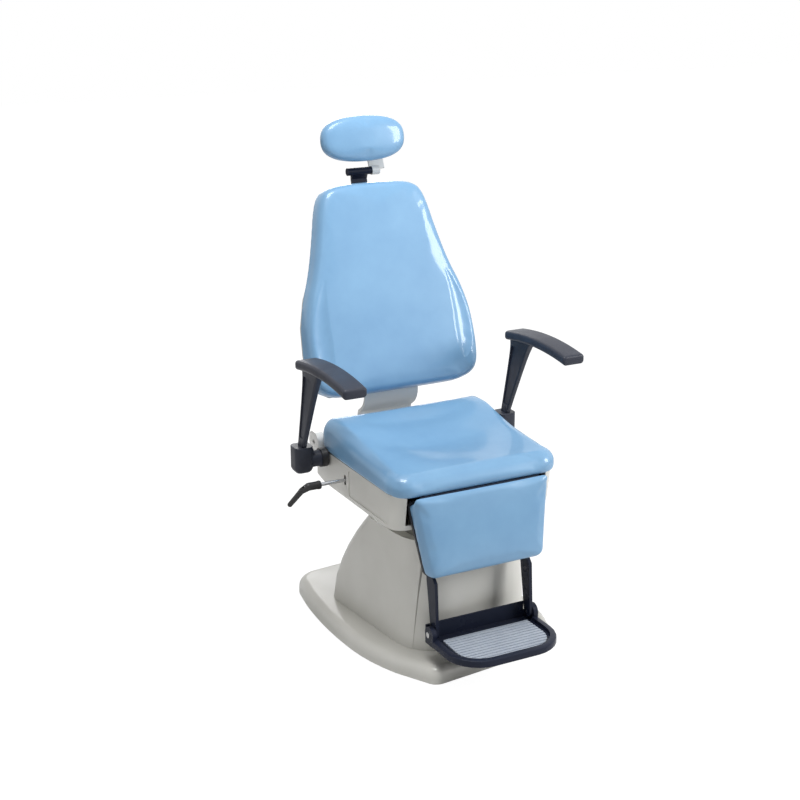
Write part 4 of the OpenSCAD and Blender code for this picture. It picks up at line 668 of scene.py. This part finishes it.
# Sizes in mm. The crests are heights over the rim, at the front, along the sides and at the rear.
SEAT_RIM = 517.8
SEAT_HALF, SEAT_FRONT, SEAT_REAR = 256.5, 279, 182
SEAT_ROLL = 31
SEAT_FRONT_CORNER, SEAT_REAR_CORNER = 60, 35
CREST_FRONT, CREST_SIDE, CREST_REAR = 50, 70, 93
SEAT_DISH = 27
COVER_SLACK = 1.5
FRONT_DROOP = 5.5
REAR_SWEEP = 9


def seat_surface(x, y):
    """Height of the seat's face: crests along the sides and the rear round a dished middle."""
    behind = ease((y - 118 + SEAT_REAR) / SEAT_REAR)
    side = CREST_SIDE + (CREST_REAR - CREST_SIDE) * behind
    crest = CREST_FRONT + (side - CREST_FRONT) * ease((y + 278) / 337)
    aside = ease(np.abs(x) / 225) ** 1.3
    along = ease((y + 270) / 230) * ease((SEAT_REAR - 22 - y) / 85)
    return SEAT_RIM + crest - COVER_SLACK - SEAT_DISH * (1 - aside) * along


seat_cushion = pad_form(
    "seat_pad",
    rounded_loop(
        [(SEAT_HALF, -SEAT_FRONT, SEAT_FRONT_CORNER), (SEAT_HALF, SEAT_REAR, SEAT_REAR_CORNER),
         (-SEAT_HALF, SEAT_REAR, SEAT_REAR_CORNER), (-SEAT_HALF, -SEAT_FRONT, SEAT_FRONT_CORNER)], count=220
    ),
    centre=(0, -48), roll=SEAT_ROLL,
    profile=finer([
        (0.2, 0), (0.06, 0.1), (0, 0.26), (0, 0.46), (0.09, 0.64), (0.3, 0.82), (0.62, 0.94), (1, 1)
    ]),
    top=seat_surface, under=lambda x, y: SEAT_RIM - FRONT_DROOP * ease((-y - 235) / 30)
)
swept = vertex_places(seat_cushion) / MM
swept[:, 1] += REAR_SWEEP * ease((swept[:, 1] - 110) / 70) * ease((swept[:, 2] - 532) / 32)
place_vertices(seat_cushion, swept * MM)
stuffed(seat_cushion, voxel=0.0055, swell=0.004, held=lambda p: p[:, 2] < (SEAT_RIM + 4) * MM)
seat_cushion.data.materials.append(blue_vinyl)
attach(seat_cushion, "seat")
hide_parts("seat_cushion")


# Backrest

# The same foam and vinyl over a board, with a grey moulded rear shell and a swept white sheet bracket on
# the hinge tube. A long leaf-shaped flute is pressed into each wing.
BACK_LEAN = math.radians(18.7)
BACK_FOOT = (195, 648)
BACK_FACE, BACK_UNDER = 32.5, -26.2
BACK_CROWN = 1.5
BACK_ROLL = 21
FLUTE_LOW, FLUTE_HIGH = 66, 342
FLUTE_INSET, FLUTE_DRIFT, FLUTE_HALF, FLUTE_DEPTH = 52, 14, 28, 6


def on_slope(points, foot, lean):
    """Points drawn face up (x, up, out) put on a slope that starts at foot (y, z)."""
    x, up, out = points[:, 0], points[:, 1], points[:, 2]
    y = foot[0] + up * math.sin(lean) - out * math.cos(lean)
    z = foot[1] + up * math.cos(lean) + out * math.sin(lean)
    return np.column_stack([x, y, z])


def lean_back(piece, foot, lean):
    """Moves a pad that was made face up onto its slope."""
    place_vertices(piece, on_slope(vertex_places(piece) / MM, foot, lean) * MM)


def smooth_loop(corners, count):
    """A closed curve through the corners, anticlockwise and with count points at even steps."""
    p = np.array(corners, float)
    t = np.linspace(0, 1, 40, endpoint=False)[:, None]
    pieces = [
        curve_between(p[i - 1], p[i], p[(i + 1) % len(p)], p[(i + 2) % len(p)], t) for i in range(len(p))
    ]
    return even_steps(np.concatenate(pieces), count)


# Outline of the right half, from the foot up: (half width, height).
BACK_SIDE = [
    (150, 0), (205, 4), (245, 20), (264, 48), (271, 92), (271.5, 140), (267, 205), (256, 258), (243, 300),
    (229, 335), (214, 380), (202, 425), (190, 475), (179, 525), (166, 563), (146, 588), (108, 601), (52, 604)
]
back_loop = smooth_loop(BACK_SIDE + [(-x, y) for x, y in reversed(BACK_SIDE)], count=260)
back_pad = pad_form(
    "backrest_pad", inward(back_loop, 0.8), centre=(0, 290), roll=BACK_ROLL,
    profile=finer([
        (0.16, 0), (0.03, 0.1), (0, 0.28), (0, 0.45), (0.05, 0.62), (0.2, 0.8), (0.45, 0.92),
        (0.74, 0.985), (1, 1)
    ]),
    top=lambda x, y: BACK_FACE + BACK_CROWN * (1 - (x / 271) ** 2) * ease(y / 120),
    under=lambda x, y: np.full(len(x), BACK_UNDER)
)
stuffed(back_pad, voxel=0.006, swell=0.003, held=lambda p: p[:, 2] < -24 * MM)


def press_flutes(piece):
    """Presses the leaf-shaped flute into each wing of the finished cover."""
    places = vertex_places(piece) / MM
    edge_up = np.array([y for x, y in BACK_SIDE])
    edge_x = np.array([x for x, y in BACK_SIDE], float)
    half = np.interp(places[:, 1], edge_up, edge_x)
    t = (places[:, 1] - FLUTE_LOW) / (FLUTE_HIGH - FLUTE_LOW)
    leaf = np.where((t > 0) & (t < 1), np.sin(np.pi * np.clip(t, 0, 1) ** 0.62) ** 0.8, 0)
    across = np.abs(places[:, 0]) - (half - FLUTE_INSET + FLUTE_DRIFT * t)
    width = FLUTE_HALF * leaf + 1e-6
    dish = np.clip(1 - (across / width) ** 2, 0, 1) ** 1.3
    places[:, 2] -= FLUTE_DEPTH * leaf * dish * (places[:, 2] > 5)
    place_vertices(piece, places * MM)


press_flutes(back_pad)
lean_back(back_pad, BACK_FOOT, BACK_LEAN)
back_pad.data.materials.append(blue_vinyl)
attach(back_pad, "backrest")
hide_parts("backrest_cushion")
dress(white_paint, "backrest_bracket")
dress(cover_plastic, "backrest_shell")


# Headrest

# A small oval vinyl pad on a tilting steel bracket. A white curved link joins it to the dark painted bar,
# which slides in a receiver on the rear of the backrest.
dark_paint = surface_finish(
    "dark_paint", "202536", "1B202E", "3E455A", 0.3, coat=0.05, coat_roughness=0.12, grain=0.0012, pebble=0.3,
    depth=0.00005, clouds=0.1, wear=0.25, dust=0.01, gloss=0.14
)
HEAD_FOOT = (429, 1338)
HEAD_LEAN = math.radians(9)
HEAD_WIDTH, HEAD_HEIGHT, HEAD_DEPTH, HEAD_BACK = 261, 128, 64, 24
HEAD_SQUARENESS = 2.6
head_steps = finer([
    (0.5, 0), (0.72, 0.04), (0.87, 0.15), (0.96, 0.32), (0.995, 0.48), (1, 0.6), (0.985, 0.74), (0.94, 0.85),
    (0.86, 0.925), (0.7, 0.975), (0.45, 0.995), (0.15, 1)
], count=44)
head_turns = np.linspace(0, 2 * np.pi, 120, endpoint=False)
head_oval = np.column_stack([
    np.sign(wave) * np.abs(wave) ** (2 / HEAD_SQUARENESS) * size / 2
    for wave, size in ((np.cos(head_turns), HEAD_WIDTH), (np.sin(head_turns), HEAD_HEIGHT))
])
headrest_pad = ringed_mesh(
    "headrest_pad",
    [
        np.column_stack([head_oval * share, np.full(len(head_oval), -HEAD_BACK + rise * HEAD_DEPTH)])
        for share, rise in head_steps
    ],
    (0, 0, -HEAD_BACK), (0, 0, HEAD_DEPTH - HEAD_BACK + 0.3)
)
stuffed(headrest_pad, voxel=0.004, swell=0.003, held=lambda p: p[:, 2] < -20 * MM)
lean_back(headrest_pad, HEAD_FOOT, HEAD_LEAN)
headrest_pad.data.materials.append(blue_vinyl)
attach(headrest_pad, "headrest")
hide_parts("headrest_cushion")
dress(dark_paint, "headrest_bar", "headrest_receiver")
dress(white_paint, "headrest_link")
dress(bare_steel, "headrest_pins", "headrest_bracket")


# Legrest

# A trapezoid pad of the same foam and vinyl on a dark board, hung from a piano hinge under the seat's
# front. Its upper end presses against the seat's foam when it is raised.
# Two flat painted legs are bolted behind it and carry the footplate.
LEG_FOOT = (-294, 516)
LEG_LEAN = math.radians(10.8)
LEG_TOP, LEG_END = 3.5, -221.6
LEG_TOP_HALF, LEG_END_HALF = 207.6, 174.5
LEG_TOP_CORNER, LEG_END_CORNER = 15, 28
LEG_ROLL = 12
LEG_FACE, LEG_STEP, LEG_UNDER = -2.5, -13.4, -41.6


def leg_stapled(p):
    """The underside and the step over the hinge, which the cloth leaves in place."""
    return (p[:, 2] < -12 * MM) & ((p[:, 2] < -38 * MM) | (p[:, 1] > -20 * MM))


legrest_pad = pad_form(
    "legrest_pad",
    rounded_loop(
        [(LEG_END_HALF, LEG_END, LEG_END_CORNER), (LEG_TOP_HALF, LEG_TOP, LEG_TOP_CORNER),
         (-LEG_TOP_HALF, LEG_TOP, LEG_TOP_CORNER), (-LEG_END_HALF, LEG_END, LEG_END_CORNER)], count=220
    ),
    centre=(0, -112), roll=LEG_ROLL,
    profile=finer([
        (0.1, 0), (0, 0.12), (0, 0.45), (0.05, 0.62), (0.2, 0.8), (0.45, 0.92), (0.74, 0.985), (1, 1)
    ]),
    top=lambda x, y: LEG_FACE + 2 * (1 - (x / 208) ** 2) * (1 - (1 + y / 111) ** 2),
    under=lambda x, y: np.where(y > -17, LEG_STEP, LEG_UNDER)
)
stuffed(legrest_pad, voxel=0.005, swell=0.003, held=leg_stapled)
lean_back(legrest_pad, LEG_FOOT, LEG_LEAN)
legrest_pad.data.materials.append(blue_vinyl)
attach(legrest_pad, "legrest")
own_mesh(legrest_pad)
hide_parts("legrest_cushion")
dark_board = board_finish("dark_board", "2E2E33", "1C1C20", 0.55)
dress(dark_board, "legrest_board")
# The hinge leaves take the dark paint as painted shade for the shadowed gap under the seat's front.
dress(dark_paint, "legrest_moving_leaf", "legrest_fixed_leaf", "leg_left", "leg_right")
dress(bare_steel, "legrest_lugs")
dress(bright_steel, "leg_bolts")


# Footplate

# A painted casting with a raised rim and two ears on the pivot bolts. A grey-blue rubber mat with
# ribs across lies in it and is glued down.
mat_rubber = surface_finish(
    "mat_rubber", "9CA5B2", "8F98A6", "B4BBC6", 0.6, grain=0.0008, pebble=0.6, depth=0.00008, clouds=0.06,
    wear=0.5, dust=0.2
)
dress(dark_paint, "footplate_frame")
dress(mat_rubber, "footplate_mat")
dress(bright_steel, "footplate_bolts")


# Push rod and clamp lever

# A plain steel rod under the seat couples the backrest to the legrest. The clamp's bright shaft comes
# out through the shell and ends in a bent black handle with a screw in its hub.
dress(bare_steel, "link_rod")
dress(bright_steel, "clamp_shaft", "clamp_screw")
dress(black_plastic, "clamp_handle")


# Arms

# Glass-filled plastic in a dark blue-grey: a socket on the pivot, a blade post that flares under the
# pad, and an arched pad with square-cut ends. They are moulded with a fine spark-eroded grain.
dark_polymer = surface_finish(
    "dark_polymer", "2F333F", "2A2D38", "4D525F", 0.42, grain=0.0007, pebble=0.7, depth=0.00006, clouds=0.08,
    wear=0.4, dust=0.04, gloss=0.3
)
ARM_X = 328
ARM_TOP = 823
ARM_FRONT, ARM_REAR = -209, 102
ARM_HALF, ARM_THICK = 33.5, 27
ARM_CROWN_Y, ARM_DROP, ARM_REACH = -53, 14, 156
ARM_EDGE_TOP, ARM_EDGE_UNDER = 8.5, 10
ARM_FRONT_ROUND, ARM_REAR_ROUND = 6, 7.5


def arm_crown(y):
    """Height of the pad's arched top."""
    return ARM_TOP - ARM_DROP * ((y - ARM_CROWN_Y) / ARM_REACH) ** 2


def arm_section(y, inset):
    """One cross-section of the arm pad, rounded at its four corners."""
    half, low = ARM_HALF - inset, -ARM_THICK + inset
    top_round, under_round = ARM_EDGE_TOP - inset, ARM_EDGE_UNDER - inset
    loop = rounded_loop(
        [(half, low, under_round), (half, -inset, top_round), (-half, -inset, top_round),
         (-half, low, under_round)], count=56
    )
    return np.column_stack([loop[:, 0], np.full(len(loop), y), arm_crown(y) + loop[:, 1]])


def arm_end(u, radius):
    """Inset of the section at share u of the way in from a rounded end."""
    return radius * (1 - math.sqrt(1 - (1 - u) ** 2))


def arm_pad_form(name, side):
    """The arched pad of one side: even in the middle, and rounded over the edges of its two ends."""
    rings = [arm_section(ARM_FRONT + 6 * u, arm_end(u, ARM_FRONT_ROUND)) for u in np.linspace(0, 1, 9)]
    rings += [arm_section(y, 0) for y in np.linspace(ARM_FRONT + 12, ARM_REAR - 14, 34)]
    rings += [arm_section(ARM_REAR - 8 * u, arm_end(u, ARM_REAR_ROUND)) for u in np.linspace(1, 0, 9)]
    rings = [np.column_stack([side * (ARM_X + r[:, 0]), r[:, 1], r[:, 2]]) for r in rings]
    if side > 0:
        rings = [r[::-1] for r in rings]
    piece = ringed_mesh(name, rings)
    piece.data.shade_smooth()
    return piece


for side, hand in ((-1, "left"), (1, "right")):
    arm_pad = arm_pad_form("arm_rest_" + hand, side)
    arm_pad.data.materials.append(dark_polymer)
    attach(arm_pad, "arm_" + hand)
    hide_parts("arm_pad_" + hand)
dress(dark_polymer, "arm_socket_left", "arm_socket_right", "arm_post_left", "arm_post_right")
